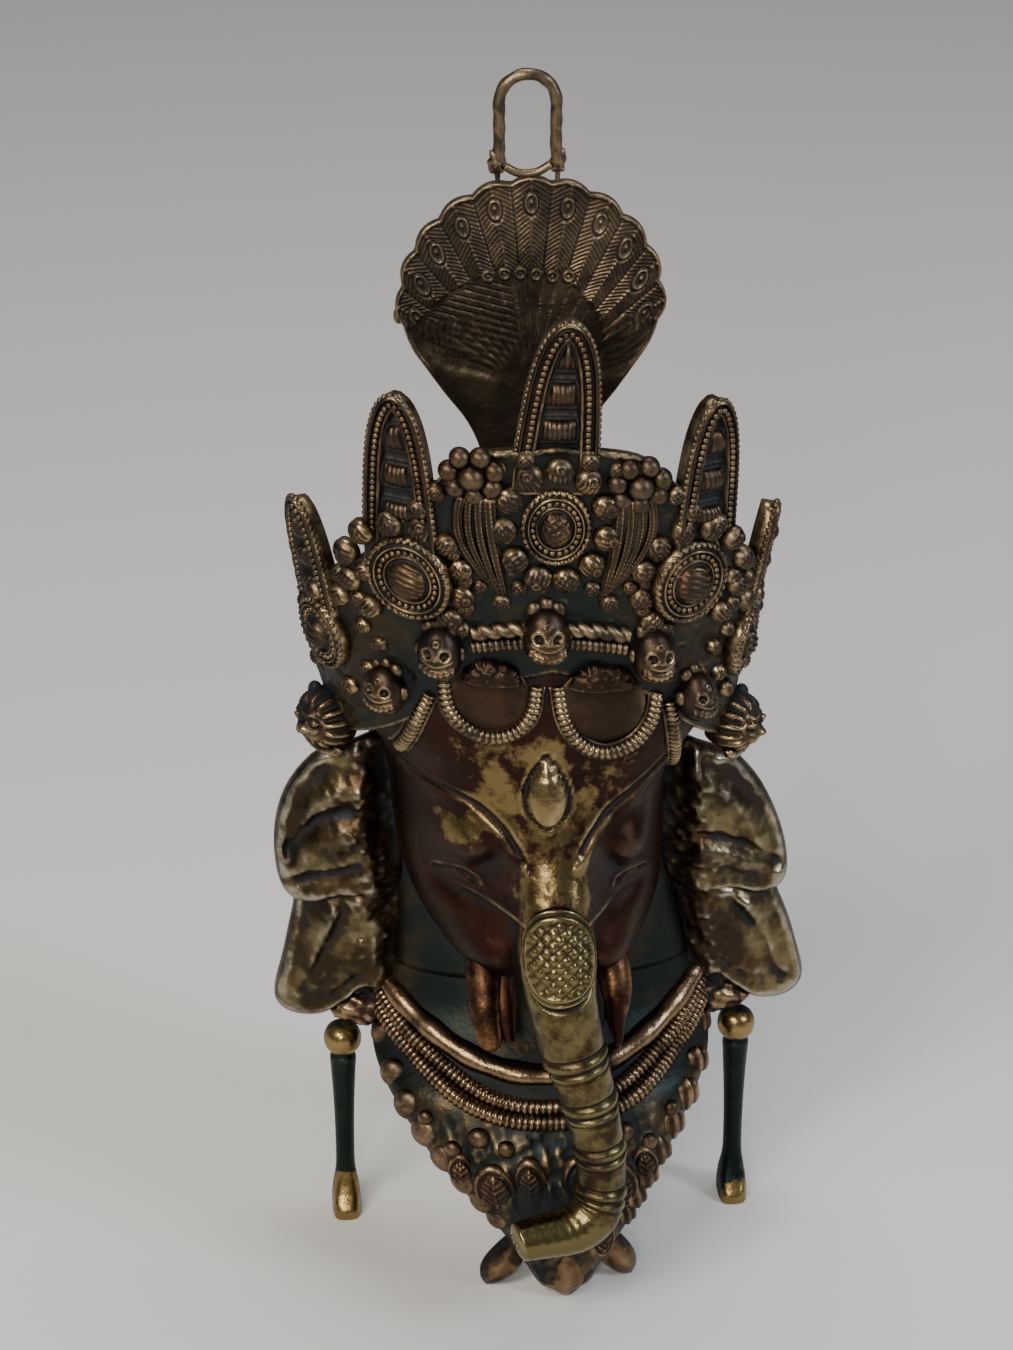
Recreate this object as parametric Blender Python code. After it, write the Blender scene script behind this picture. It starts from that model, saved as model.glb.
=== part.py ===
"""Cast elephant-headed mask with a five-leaf crown, a peacock-tail hanger and two small legs.

Every size below is in millimetres and is turned to metres when a mesh is made. The mask faces -Y,
+Z is up, and the feet and the pendant tip stand on z = 0. Before the last step y = 0 is the plane of
the mask's open back; then everything is moved so that the origin is the middle of the base.
"""

import math

import bmesh
import bpy
import numpy as np
from mathutils import Vector

MM = 0.001
TOUCH_GAP = 0.3

# Walls and the hollow
HEAD_WALL = 4.0
NECK_WALL = 4.0
CROWN_WALL = 4.5
HOLLOW_OVERRUN = 6.0
NECK_OVERRUN = 9.0
BACK_STEP = 0.5

# Head: height, half width and depth in front of the open back, from under the jaw to the skull's top
HEAD_STATIONS = (
    (113.0, 16.0, 38.0),
    (120.0, 28.0, 48.0),
    (131.0, 38.0, 55.0),
    (146.0, 46.0, 60.0),
    (162.0, 49.5, 63.0),
    (180.0, 51.0, 65.0),
    (200.0, 52.0, 66.5),
    (214.0, 56.0, 68.0),
    (230.0, 68.0, 68.0),
    (246.0, 73.0, 68.0),
    (262.0, 70.0, 65.0),
    (275.0, 59.0, 55.0),
    (285.0, 42.0, 39.0),
    (292.0, 18.0, 17.0),
)
HEAD_ROUNDNESS = 2.4

# Neck and bib: height, half width, depth in front, depth at the side edges
NECK_STATIONS = (
    (4.0, 11.0, 76.0, 66.0),
    (20.0, 20.0, 77.0, 64.0),
    (40.0, 36.0, 76.0, 55.0),
    (58.0, 51.0, 71.5, 38.0),
    (75.0, 63.0, 62.0, 18.0),
    (87.0, 64.0, 48.0, 0.0),
    (108.0, 61.0, 34.0, 0.0),
    (150.0, 56.5, 25.0, 0.0),
    (215.0, 58.0, 16.0, 0.0),
)
NECK_ROUNDNESS = 2.3

# Crown wall in plan, at its foot and at its rim
CROWN_FOOT = (74.0, 67.0)
CROWN_RIM = (84.0, 76.0)
CROWN_ROUNDNESS = 2.6
CROWN_END = 76.0
CROWN_FOOT_HEIGHT = ((0.0, 262.0), (38.0, 252.0), (58.0, 236.0), (84.0, 218.0))
CROWN_RIM_HEIGHT = ((0.0, 352.0), (28.0, 348.0), (40.0, 338.0), (52.0, 320.0), (66.0, 296.0), (84.0, 272.0))

# Crown leaves: plan position, height of the tip, width, thickness, lean
LEAF_PLACES = (-78.0, -53.0, 3.5, 53.0, 78.0)
LEAF_TIP_HEIGHT = (317.0, 368.0, 399.0, 368.0, 317.0)
LEAF_WIDTH = (22.0, 25.0, 28.0, 25.0, 22.0)
LEAF_ROOT = 14.0
LEAF_THICKNESS = 6.0
LEAF_FRAME = 4.2
LEAF_PANEL_DEPTH = 1.6
LEAF_LEANS = (11.0, 6.0, 5.0, 6.0, 11.0)
LEAF_ARCH_STEPS = (0.0, 0.5, 0.85)

# Medallions: plan position, height of the middle, half width, half height
MEDALLIONS = (
    (0.0, 322.0, 12.0, 15.0),
    (-51.0, 298.0, 15.5, 16.5),
    (49.0, 298.0, 15.5, 16.5),
    (-77.0, 264.0, 12.5, 14.0),
    (75.0, 264.0, 12.5, 14.0),
)
MEDALLION_PROFILE = (
    (1.0, -2.5),
    (1.0, 1.8),
    (0.86, 2.9),
    (0.7, 1.5),
    (0.42, 5.0),
    (0.14, 7.0),
)
PETAL_PROFILE = ((1.0, -1.5), (1.0, 1.6), (0.86, 3.8), (0.7, 1.8))
PETAL_COUNTS = (11, 9, 9, 0, 0)
PETAL_REACHES = (11.2, 6.2, 6.2, 0.0, 0.0)
LOBE_DEPTH = 0.12
ROSETTE = (29.0, 332.0)
ROSETTE_RADIUS = 9.4
LOCK_RADIUS = 4.0
LOCK_START = (29.0, 325.0)
LOCK_RUN = (10.0, 3.5, 30.0)
ROSETTE_PROFILE = ((1.0, -1.5), (1.0, 1.2), (0.7, 3.4), (0.42, 2.2), (0.3, 5.2))
MEDALLION_SIDES = 11

# Headband: skulls as plan position, height and half width, the beasts at its ends, and its swags
SKULLS = ((-3.5, 278.0, 8.2), (-41.0, 267.0, 7.6), (36.0, 267.0, 7.6), (-61.0, 249.0, 7.0), (56.0, 249.0, 7.0))
SKULL_LIFT = 2.5
BEAST = (80.0, 225.0)
BEAST_SIZE = 11.0
BEAST_LIFT = 1.5
SWAG_RADIUS = 2.6
SWAGS = (((7.0, 262.0), (37.0, 258.0), 239.0), ((42.0, 252.0), (54.0, 232.0), 219.0))
BROW_ROPE = (281.0, 7.0, 0.8, 3.4)

# Face
THIRD_EYE = (-2.4, 216.0)
THIRD_EYE_SIZE = (7.0, 4.5, 13.5)
EYELID = (27.0, 188.0)
EYELID_SIZE = (17.0, 12.0)
EYELID_RISE = 7.0
SOCKET = (30.0, 166.0)
SOCKET_SIZE = (15.0, 10.0)
SOCKET_DEPTH = 6.0

# Trunk: centre line and radius
TRUNK_LINE = (
    (0.0, -50.0, 208.0, 7.0),
    (0.0, -60.0, 192.0, 10.5),
    (0.0, -70.0, 175.0, 12.5),
    (0.5, -77.0, 157.0, 14.2),
    (2.0, -82.0, 138.0, 12.8),
    (6.0, -85.0, 118.0, 11.6),
    (11.5, -87.0, 98.0, 10.2),
    (15.5, -88.0, 78.0, 9.4),
    (16.5, -88.0, 62.0, 9.0),
    (13.5, -90.0, 50.0, 9.0),
    (4.5, -93.0, 44.0, 8.8),
    (-8.0, -96.0, 43.0, 8.0),
    (-18.5, -99.0, 43.0, 7.0),
)
TRUNK_BANDS = ((115.0, 3.0), (95.5, 3.0), (74.0, 3.0), (56.0, 3.0))
TRUNK_BAND_RISE = 0.8
TRUNK_BAND_END = 4.0
TRUNK_PLAQUE = (0.5, 157.0)
TRUNK_PLAQUE_SIZE = (13.0, 5.0, 17.5)
TRUNK_PLAQUE_SINK = 2.7
TRUNK_PLAQUE_LOW = 100.0

# Tusks: root, tip, radii
TUSK_ROOT = (25.0, -50.0, 140.0)
TUSK_BELLY = (25.5, -60.0, 122.0)
TUSK_TIP = (22.5, -68.0, 105.0)
TUSK_RADII = (7.5, 6.0, 3.6)

# Ears: outlines in the ear's own plane (distance from the middle, height)
EAR_UPPER = (
    (50.0, 206.0),
    (72.0, 205.0),
    (84.5, 193.0),
    (92.5, 176.0),
    (95.7, 158.0),
    (94.0, 144.0),
    (86.0, 139.0),
    (72.0, 143.0),
    (50.0, 148.0),
)
EAR_LOWER = (
    (50.0, 158.0),
    (70.0, 153.0),
    (87.0, 146.0),
    (92.5, 132.0),
    (97.5, 113.0),
    (101.0, 96.0),
    (95.5, 88.5),
    (84.0, 88.5),
    (75.0, 95.0),
    (66.0, 103.0),
    (50.0, 104.0),
)
EAR_PLANE_DEPTH = 21.0
EAR_SWEEP = 0.24
EAR_THICKNESS = 4.5
EAR_SWELL = 4.0

# Collar: the roll and the two ropes as height at the ends, drop to the front, radius and lift
COLLAR_HALF_SPAN = 61.0
COLLAR_STEP = 11.0
COLLAR_ROPES = ((107.0, -24.0, 3.2, -0.4), (99.5, -23.0, 2.9, 0.4), (92.5, -20.5, 2.9, 0.4))
BIB_BOSSES = (
    (60.0, 79.0, 4.0),
    (51.0, 67.0, 4.8),
    (41.0, 54.0, 4.8),
    (26.0, 62.0, 5.0),
)
PENDANTS = ((23.0, 40.0, 7.0, 15.0), (9.0, 48.0, 6.0, 12.0))
PENDANT_THICKNESS = 3.6
LOBES = ((-28.0, -64.0, -28.0), (0.5, -73.0, 0.0), (25.0, -61.0, 32.0))
LOBE_SIZE = 9.0

# Legs
LEG_PLACE = (75.5, -10.0)
LEG_HEAD_TOP = 83.5
LEG_HEAD_RADIUS = 7.2
LEG_SHANK_TOP_RADIUS = 4.9
LEG_ANKLE_RADIUS = 3.6
LEG_ANKLE_HEIGHT = 26.0
FOOT_WIDTH = 11.0
FOOT_TOE = 11.5
FOOT_HEEL = 6.0
TOE_HEIGHT = 4.0
LEG_SIDES = 8
LUG_INNER = 52.0
LUG_OUTER_STEP = 4.0
LUG_FRONT_STEP = 6.0
LUG_SHOULDER = 8.0
LUG_HEIGHT = 13.0
LUG_BACK = -2.0

# Peacock fan and hanging loop
FAN_CENTRE = (-3.4, 372.0)
FAN_RADIUS = 47.6
FAN_THICKNESS = 3.0
FAN_SCALLOPS = 11
FAN_SCALLOP_DEPTH = 2.2
FAN_SCALLOP_STEPS = 3
FAN_WAIST = ((41.0, 355.0), (31.0, 340.0), (22.5, 328.0), (17.5, 315.0))
FAN_WAIST_FOOT = 296.0
FAN_STEM_HALF_WIDTH = 15.5
FAN_STEM_FOOT = 262.0
FAN_SEAT_THICKNESS = 4.5
FAN_SEAT_DROP = 30.0
FAN_SEAT_EDGE = 2.0
FAN_SEAT_HEIGHT = 28.0
FAN_SEAT_SHARES = (0.0, 13 / 28, 23 / 28, 1.0)
LOOP_OFFSET = -1.3
LOOP_HALF_WIDTH = 9.8
LOOP_HEIGHT = 39.0
LOOP_ROD_RADIUS = 2.1

# The sculptor's hand: the head and crown stand to one side at the back and higher on that side, and the
# pendant hangs to the other side
LEAN_ASIDE = -5.5
LEAN_UP = -0.045
LEAN_LEVELS = (110.0, 190.0)
LEAN_DEPTHS = (-75.0, -30.0)
PENDANT_ASIDE = 4.7
PENDANT_LEVELS = (65.0, 20.0)

BRONZE = (0.30, 0.22, 0.12)
DARK_BRONZE = (0.20, 0.15, 0.10)
BROWN_BRONZE = (0.33, 0.22, 0.12)


def clear_scene():
    for obj in list(bpy.data.objects):
        bpy.data.objects.remove(obj)


def metal(name, colour, roughness):
    material = bpy.data.materials.new(name)
    material.use_nodes = True
    shader = material.node_tree.nodes["Principled BSDF"]
    shader.inputs["Base Color"].default_value = (*colour, 1.0)
    shader.inputs["Metallic"].default_value = 1.0
    shader.inputs["Roughness"].default_value = roughness
    return material


def solid(name, points, faces, in_triangles=False):
    """An object from points in millimetres and faces, closed and facing out."""
    mesh = bpy.data.meshes.new(name)
    mesh.from_pydata([tuple(c * MM for c in p) for p in points], [], faces)
    shape = bmesh.new()
    shape.from_mesh(mesh)
    bmesh.ops.recalc_face_normals(shape, faces=shape.faces)
    if in_triangles:
        bmesh.ops.triangulate(shape, faces=shape.faces)
    shape.to_mesh(mesh)
    shape.free()
    obj = bpy.data.objects.new(name, mesh)
    bpy.context.scene.collection.objects.link(obj)
    return obj


def loft(name, rings, in_triangles=False):
    """A closed solid through rings of equally many points, with a flat cap at each end. A Boolean cuts a
    large twisted face cleanly only where it is in triangles."""
    count = len(rings[0])
    points = [p for ring in rings for p in ring]
    faces = [tuple(range(count)), tuple(range(len(points) - count, len(points)))]
    for row in range(len(rings) - 1):
        for i in range(count):
            j = (i + 1) % count
            low, high = row * count, (row + 1) * count
            faces.append((low + i, low + j, high + j, high + i))
    return solid(name, points, faces, in_triangles)


def between(table, x):
    """The value at x of a table of (x, value) rows, on straight lines."""
    return float(np.interp(x, [row[0] for row in table], [row[1] for row in table]))


def smooth_curve(points, steps):
    """Points on a smooth curve through the given rows of numbers, with steps spans between each two."""
    rows = [np.array(p, float) for p in points]
    rows = [2 * rows[0] - rows[1], *rows, 2 * rows[-1] - rows[-2]]
    found = []
    for a, b, c, d in zip(rows, rows[1:], rows[2:], rows[3:]):
        for step in range(steps):
            t = step / steps
            found.append(
                0.5 * (2 * b + (c - a) * t + (2 * a - 5 * b + 4 * c - d) * t**2 + (3 * b - 3 * c + d - a) * t**3)
            )
    found.append(rows[-2])
    return found


def plan_point(angle, half_width, depth, roundness):
    """A point of a superellipse in plan: angle 0 is the front and 90 degrees is the +X side."""
    s, c = math.sin(angle), math.cos(angle)
    x = math.copysign(abs(s) ** (2 / roundness), s) * half_width
    return x, -(max(c, 0.0) ** (2 / roundness)) * depth


def face_rise(x, z):
    """How far the eyelids and the eye sockets move the face's surface forward at a place."""
    rise = 0.0
    for (mid_x, mid_z), (size_x, size_z), height in (
        (EYELID, EYELID_SIZE, EYELID_RISE),
        (SOCKET, SOCKET_SIZE, -SOCKET_DEPTH),
    ):
        reach = ((abs(x) - mid_x) / size_x) ** 2 + ((z - mid_z) / size_z) ** 2
        rise += height * math.exp(-1.6 * reach)
    return rise


def head_surface(x, z, inset=0.0):
    """How far in front of the open back the head's surface is at a place."""
    width = between([(s[0], s[1]) for s in HEAD_STATIONS], z) - inset
    depth = between([(s[0], s[2]) for s in HEAD_STATIONS], z) - inset
    share = min(abs(x) / width, 1.0)
    return depth * (1 - share**HEAD_ROUNDNESS) ** (1 / HEAD_ROUNDNESS)


def head_solid(name, inset, back, segments, steps):
    """The head, or with an inset its hollow, as a half tube from under the jaw to the skull's top."""
    rings = []
    stations = smooth_curve(HEAD_STATIONS, steps)
    middle = 0.5 * (stations[0][0] + stations[-1][0])
    for z, half_width, depth in stations:
        ring = []
        for i in range(segments + 1):
            angle = math.pi * (i / segments - 0.5)
            x, y = plan_point(angle, max(half_width - inset, 2.0), max(depth - inset, 2.0), HEAD_ROUNDNESS)
            y -= face_rise(x, z) * math.cos(angle) ** 0.5 if math.cos(angle) > 0.01 else 0.0
            height = z + (middle - z) / abs(middle - z) * inset
            ring.append((x, y, height))
        if back > 0:
            ring += [(ring[-1][0], back, ring[-1][2]), (ring[0][0], back, ring[0][2])]
        rings.append(ring)
    return loft(name, rings, in_triangles=True)


def neck_section(z):
    return [between([(s[0], s[i]) for s in NECK_STATIONS], z) for i in (1, 2, 3)]


def neck_surface(x, z):
    """How far in front of the open back the neck's or the bib's surface is at a place."""
    half_width, depth, side = neck_section(z)
    share = min(abs(x) / half_width, 1.0)
    return side + (depth - side) * (1 - share**NECK_ROUNDNESS) ** (1 / NECK_ROUNDNESS)


def neck_solid(name, inset, back, segments, steps):
    """The neck and the bib, or with an inset their hollow."""
    rings = []
    stations = smooth_curve(NECK_STATIONS, steps)
    stations[0][0] -= inset
    stations[-1][0] -= inset
    for z, half_width, depth, side in stations:
        side = max(side, BACK_STEP)
        ring = []
        for i in range(segments + 1):
            angle = math.pi * (i / segments - 0.5)
            x, y = plan_point(angle, half_width - inset, depth - side, NECK_ROUNDNESS)
            ring.append((x, y - side + inset, z))
        if back > 0:
            ring += [(ring[-1][0], back - side, z), (ring[0][0], back - side, z)]
        rings.append(ring)
    return loft(name, rings, in_triangles=True)


def crown_place(plan_x, height):
    """A place on the crown's outer face, with its sideways, upward and outward directions."""
    share = max(-1.0, min(1.0, plan_x / CROWN_RIM[0]))
    foot, rim = between(CROWN_FOOT_HEIGHT, abs(plan_x)), between(CROWN_RIM_HEIGHT, abs(plan_x))
    up_share = (height - foot) / (rim - foot)

    def at(share, up_share):
        wide = CROWN_FOOT[0] + (CROWN_RIM[0] - CROWN_FOOT[0]) * up_share
        deep = CROWN_FOOT[1] + (CROWN_RIM[1] - CROWN_FOOT[1]) * up_share
        y = -deep * (1 - abs(share) ** CROWN_ROUNDNESS) ** (1 / CROWN_ROUNDNESS)
        return Vector((share * wide, y, foot + (rim - foot) * up_share))

    here = at(share, up_share)
    side = at(min(share + 0.01, 1.0), up_share) - at(max(share - 0.01, -1.0), up_share)
    side.z = 0.0
    side.normalize()
    up = (at(share, up_share + 0.02) - here).normalized()
    out = side.cross(up).normalized()
    return here, side, up, out


def crown_wall(name, segments):
    rings = []
    for i in range(segments + 1):
        angle = math.radians(-CROWN_END + 2 * CROWN_END * i / segments)
        plan_x = plan_point(angle, *CROWN_RIM, CROWN_ROUNDNESS)[0]
        foot, rim = between(CROWN_FOOT_HEIGHT, abs(plan_x)), between(CROWN_RIM_HEIGHT, abs(plan_x))
        outer = [crown_place(plan_x, foot + (rim - foot) * t) for t in (0.0, 0.5, 1.0)]
        front = [here for here, _, _, _ in outer]
        inner = [here - out * CROWN_WALL for here, _, _, out in reversed(outer)]
        rings.append([tuple(p) for p in front + inner])
    return loft(name, rings)


def framed(frame, a, b, c):
    """The point a sideways, b up and c out from a frame's place."""
    here, side, up, out = frame
    return tuple(here + side * a + up * b + out * c)


def turned(name, frame, profile, wide, high, segments, lobe_depth=0.0):
    """A round or oval boss from rows of (share of the radius, height out). With a depth, every second
    side is drawn in, so that the edge has half as many lobes as the boss has sides."""
    rings = []
    for share, out in profile:
        ring = []
        for i, angle in enumerate(angles(segments)):
            reach = share * (1 - lobe_depth * (i % 2))
            ring.append(framed(frame, wide * reach * math.sin(angle), high * reach * math.cos(angle), out))
        rings.append(ring)
    return loft(name, rings)


def ball(name, place, sizes, segments=6, rows=2):
    """An ellipsoid with its poles up and down, as a loft with small flat poles."""
    rings = []
    for row in range(rows + 1):
        tilt = math.pi * (0.1 + 0.8 * row / rows) - math.pi / 2
        ring = []
        for angle in angles(segments):
            ring.append(
                (
                    place[0] + sizes[0] * math.cos(tilt) * math.cos(angle),
                    place[1] + sizes[1] * math.cos(tilt) * math.sin(angle),
                    place[2] + sizes[2] * math.sin(tilt),
                )
            )
        rings.append(ring)
    return loft(name, rings)


def tube(name, line, sides, turn=0.0):
    """A tube through rows of (x, y, z, radius); the rings keep one twist-free direction."""
    centres = [Vector(row[:3]) for row in line]
    rings = []
    across = None
    for i, centre in enumerate(centres):
        along = (centres[min(i + 1, len(centres) - 1)] - centres[max(i - 1, 0)]).normalized()
        if across is None:
            across = along.orthogonal().normalized()
        across = (across - along * across.dot(along)).normalized()
        other = along.cross(across)
        ring = []
        for side in range(sides):
            angle = 2 * math.pi * side / sides + turn * i
            ring.append(tuple(centre + (across * math.cos(angle) + other * math.sin(angle)) * line[i][3]))
        rings.append(ring)
    return loft(name, rings)


def spaced(places, step):
    """Points one step apart along a line of places."""
    vectors = [Vector(p) for p in places]
    lengths = [0.0]
    for a, b in zip(vectors, vectors[1:]):
        lengths.append(lengths[-1] + (b - a).length)
    count = max(2, round(lengths[-1] / step))
    rows = []
    for i in range(count + 1):
        at = lengths[-1] * i / count
        rows.append(tuple(float(np.interp(at, lengths, [v[axis] for v in vectors])) for axis in range(3)))
    return rows


def leaf_ring(frame, width, height, inset, out, lean):
    """A pointed-arch outline standing on its foot, taken in by an inset and tilted outwards."""
    half, top = width / 2 - inset, height - inset
    ring = [(-half, -LEAF_ROOT + inset), (half, -LEAF_ROOT + inset)]
    for share in LEAF_ARCH_STEPS:
        ring.append((half * (1 - share**2.2) ** 0.55, top * share))
    ring.append((0.0, top))
    for share in reversed(LEAF_ARCH_STEPS):
        ring.append((-half * (1 - share**2.2) ** 0.55, top * share))
    return [framed(frame, a, b, out + max(b, 0.0) * math.tan(lean)) for a, b in ring]


def crown_leaf(name, plan_x, tip, width, lean):
    foot = between(CROWN_RIM_HEIGHT, abs(plan_x)) - 3.0
    here, side, _, out = crown_place(plan_x, foot)
    out = Vector((out.x, out.y, 0.0)).normalized()
    frame = (here, side, Vector((0.0, 0.0, 1.0)), out)
    height = tip - foot
    steps = (
        (0.0, -LEAF_THICKNESS),
        (0.0, -1.0),
        (1.0, 0.0),
        (LEAF_FRAME - 0.6, 0.0),
        (LEAF_FRAME, -LEAF_PANEL_DEPTH),
    )
    made = [loft(name, [leaf_ring(frame, width, height, inset, depth, lean) for inset, depth in steps])]
    for i, share in enumerate((0.18, 0.46) if height < 60 else (0.16, 0.4, 0.62)):
        radius = (width / 2 - LEAF_FRAME) * (0.86 - 0.12 * i)
        middle = framed(frame, 0.0, height * share, height * share * math.tan(lean) - 1.0)
        made.append(ball(f"{name}_boss{i}", middle, (radius, radius * 0.8, radius * 1.1)))
    return made


def medallion(name, plan_x, height, wide, high, segments):
    return turned(name, crown_place(plan_x, height), MEDALLION_PROFILE, wide, high, segments)


def skull(name, place, turn, size):
    """A small skull: a cranium with two eye hollows, narrowing to a jaw that juts forward."""
    frame = facing(place, turn)
    rings = []
    for b, reach in ((-1.45, 0.34), (-1.2, 0.62), (-0.7, 0.72), (-0.35, 0.92), (0.1, 1.0), (0.7, 0.8), (1.05, 0.34)):
        ring = []
        for angle in angles(7):
            a, c = reach * math.cos(angle), reach * math.sin(angle)
            eye = sum(math.exp(-((a - s * 0.42) ** 2 + (b + 0.1) ** 2) / 0.06) for s in (-1, 1))
            c += (0.12 if b < -1.0 else -0.3 * eye) * (c > 0)
            ring.append(framed(frame, a * size, b * size, c * size * 0.95))
        rings.append(ring)
    return loft(name, rings)


def facing(place, turn):
    """A frame at a place that looks level, turned from -Y towards +X."""
    side = Vector((math.cos(turn), math.sin(turn), 0.0))
    out = Vector((math.sin(turn), -math.cos(turn), 0.0))
    return Vector(place), side, Vector((0.0, 0.0, 1.0)), out


def beast_head(name, place, turn, size):
    """The small beast's head at each end of the headband: skull, muzzle and two ears."""
    frame = facing(place, turn)
    muzzle = framed(frame, 0, -size * 0.45, size * 0.65)
    made = [
        ball(name, place, (size, size * 0.95, size * 0.9), 8, 3),
        ball(f"{name}_muzzle", muzzle, (size * 0.6, size * 0.6, size * 0.45)),
    ]
    for s in (-1, 1):
        ear = framed(frame, s * size * 0.8, size * 0.7, 0.0)
        made.append(ball(f"{name}_ear{s}", ear, (size * 0.38, size * 0.32, size * 0.45), 5, 2))
    return made


def ear_lobe(name, outline, hand, swell, lift):
    """One lobe of an ear: a swelling plate whose outer edge sweeps back."""

    def plane(x):
        return -(EAR_PLANE_DEPTH + lift) + EAR_SWEEP * (x - outline[0][0])

    closed = smooth_curve([*outline, outline[0]], 2)[:-1]
    mid_x = sum(p[0] for p in closed) / len(closed)
    mid_z = sum(p[1] for p in closed) / len(closed)
    rings = []
    for share, out in ((1.0, -EAR_THICKNESS), (1.0, -0.8), (0.72, swell * 0.65), (0.35, swell)):
        ring = []
        for x, z in closed:
            at_x, at_z = mid_x + (x - mid_x) * share, mid_z + (z - mid_z) * share
            ring.append((hand * at_x, plane(at_x) - out, at_z))
        rings.append(ring)
    return loft(name, rings)


def trunk(name):
    line = []
    for x, y, z, radius in smooth_curve(TRUNK_LINE, 2):
        rise = sum(math.exp(-(((z - height) / band) ** 2)) for height, band in TRUNK_BANDS)
        line.append((x, y, z, radius + TRUNK_BAND_RISE * rise * (x < TRUNK_BAND_END or z > 50.0)))
    return tube(name, line, 9)


def plaque_place():
    """The middle of the oval plaque, sunk a little into the front of the trunk."""
    x, z = TRUNK_PLAQUE
    rising = [row for row in reversed(TRUNK_LINE) if row[2] > TRUNK_PLAQUE_LOW]
    front = between([(row[2], row[1] - row[3]) for row in rising], z)
    return x, front + TRUNK_PLAQUE_SINK, z


def collar_line(height, drop, lift):
    """The route of a collar rope on the neck, from one end round the front to the other."""
    places = []
    for i in range(25):
        share = -1 + 2 * i / 24
        z = height + drop * (1 - abs(share) ** 2.2)
        x = share * COLLAR_HALF_SPAN
        places.append((x, -neck_surface(x, z) - lift, z))
    return places


def bib_boss(name, x, z, size):
    return ball(name, (x, -neck_surface(x, z), z), (size, size, size))


def lobe(name, x, y, turn, size):
    """One pointed lobe of the pendant, standing on a small flat at z = 0."""
    here = Vector((x, y, 0.0))
    across = Vector((math.cos(turn), math.sin(turn), 0.0))
    ahead = Vector((math.sin(turn), -math.cos(turn), 0.0))
    rings = []
    for share, height in ((0.35, 0.0), (0.7, 2.5), (1.0, 7.0), (0.95, 13.0), (0.6, 21.0)):
        ring = []
        for angle in angles(7):
            ring.append(
                tuple(
                    here
                    + across * (math.cos(angle) * share * size * 0.8)
                    + ahead * (math.sin(angle) * share * size * 0.55)
                    + Vector((-x * 0.02 * height, 0.0, height))
                )
            )
        rings.append(ring)
    return loft(name, rings)


def leg(name, hand):
    """A leg with a round head, a slim shank and a small flat foot that points forward."""
    x, y = hand * LEG_PLACE[0], LEG_PLACE[1]
    top = LEG_HEAD_TOP
    profile = (
        (3.0, top),
        (LEG_HEAD_RADIUS * 0.78, top - 2.0),
        (LEG_HEAD_RADIUS, top - 6.0),
        (LEG_HEAD_RADIUS * 0.86, top - 10.0),
        (LEG_SHANK_TOP_RADIUS * 0.9, top - 12.0),
        (LEG_SHANK_TOP_RADIUS, top - 14.0),
        (LEG_SHANK_TOP_RADIUS * 0.96, top - 28.0),
        (LEG_ANKLE_RADIUS * 1.08, LEG_ANKLE_HEIGHT + 14.0),
        (LEG_ANKLE_RADIUS, LEG_ANKLE_HEIGHT),
    )
    rings = []
    for radius, z in profile:
        rings.append([(x + radius * math.cos(a), y + radius * math.sin(a), z) for a in angles(LEG_SIDES)])
    half = FOOT_WIDTH / 2
    for z, heel, toe, width in (
        (16.0, 3.8, 4.4, 3.9),
        (9.0, FOOT_HEEL - 0.8, 8.0, half * 0.85),
        (TOE_HEIGHT, FOOT_HEEL, FOOT_TOE, half),
        (0.0, FOOT_HEEL, FOOT_TOE, half),
    ):
        ring = []
        for a in angles(LEG_SIDES):
            across = math.copysign(abs(math.cos(a)) ** 0.5, math.cos(a)) * width
            ahead = math.copysign(abs(math.sin(a)) ** 0.5, math.sin(a))
            ring.append((x + across, y + ahead * (heel if ahead > 0 else toe), z))
        rings.append(ring)
    return loft(name, rings)


def angles(count):
    return [2 * math.pi * i / count for i in range(count)]


def fan_plate(name):
    """The peacock's tail: a scalloped disc on a waisted stem, behind the mask's open back."""
    mid_x, mid_z = FAN_CENTRE
    outline = []
    start, end = math.radians(-8), math.radians(188)
    spans = FAN_SCALLOPS * FAN_SCALLOP_STEPS
    for i in range(spans + 1):
        angle = start + (end - start) * i / spans
        phase = (i % FAN_SCALLOP_STEPS) / FAN_SCALLOP_STEPS
        radius = FAN_RADIUS - FAN_SCALLOP_DEPTH * (1 - math.sin(math.pi * phase))
        outline.append((mid_x + radius * math.cos(angle), mid_z + radius * math.sin(angle)))
    waist = [(-x, z) for x, z in FAN_WAIST] + [(-FAN_STEM_HALF_WIDTH, FAN_WAIST_FOOT)]
    outline += [(mid_x + x, z) for x, z in waist]
    outline += [(mid_x - FAN_STEM_HALF_WIDTH, FAN_STEM_FOOT), (mid_x + FAN_STEM_HALF_WIDTH, FAN_STEM_FOOT)]
    outline += [(mid_x - x, z) for x, z in reversed(waist)]
    rings = [[(x, TOUCH_GAP + depth, z) for x, z in outline] for depth in (0.0, FAN_THICKNESS)]
    return loft(name, rings)


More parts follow.
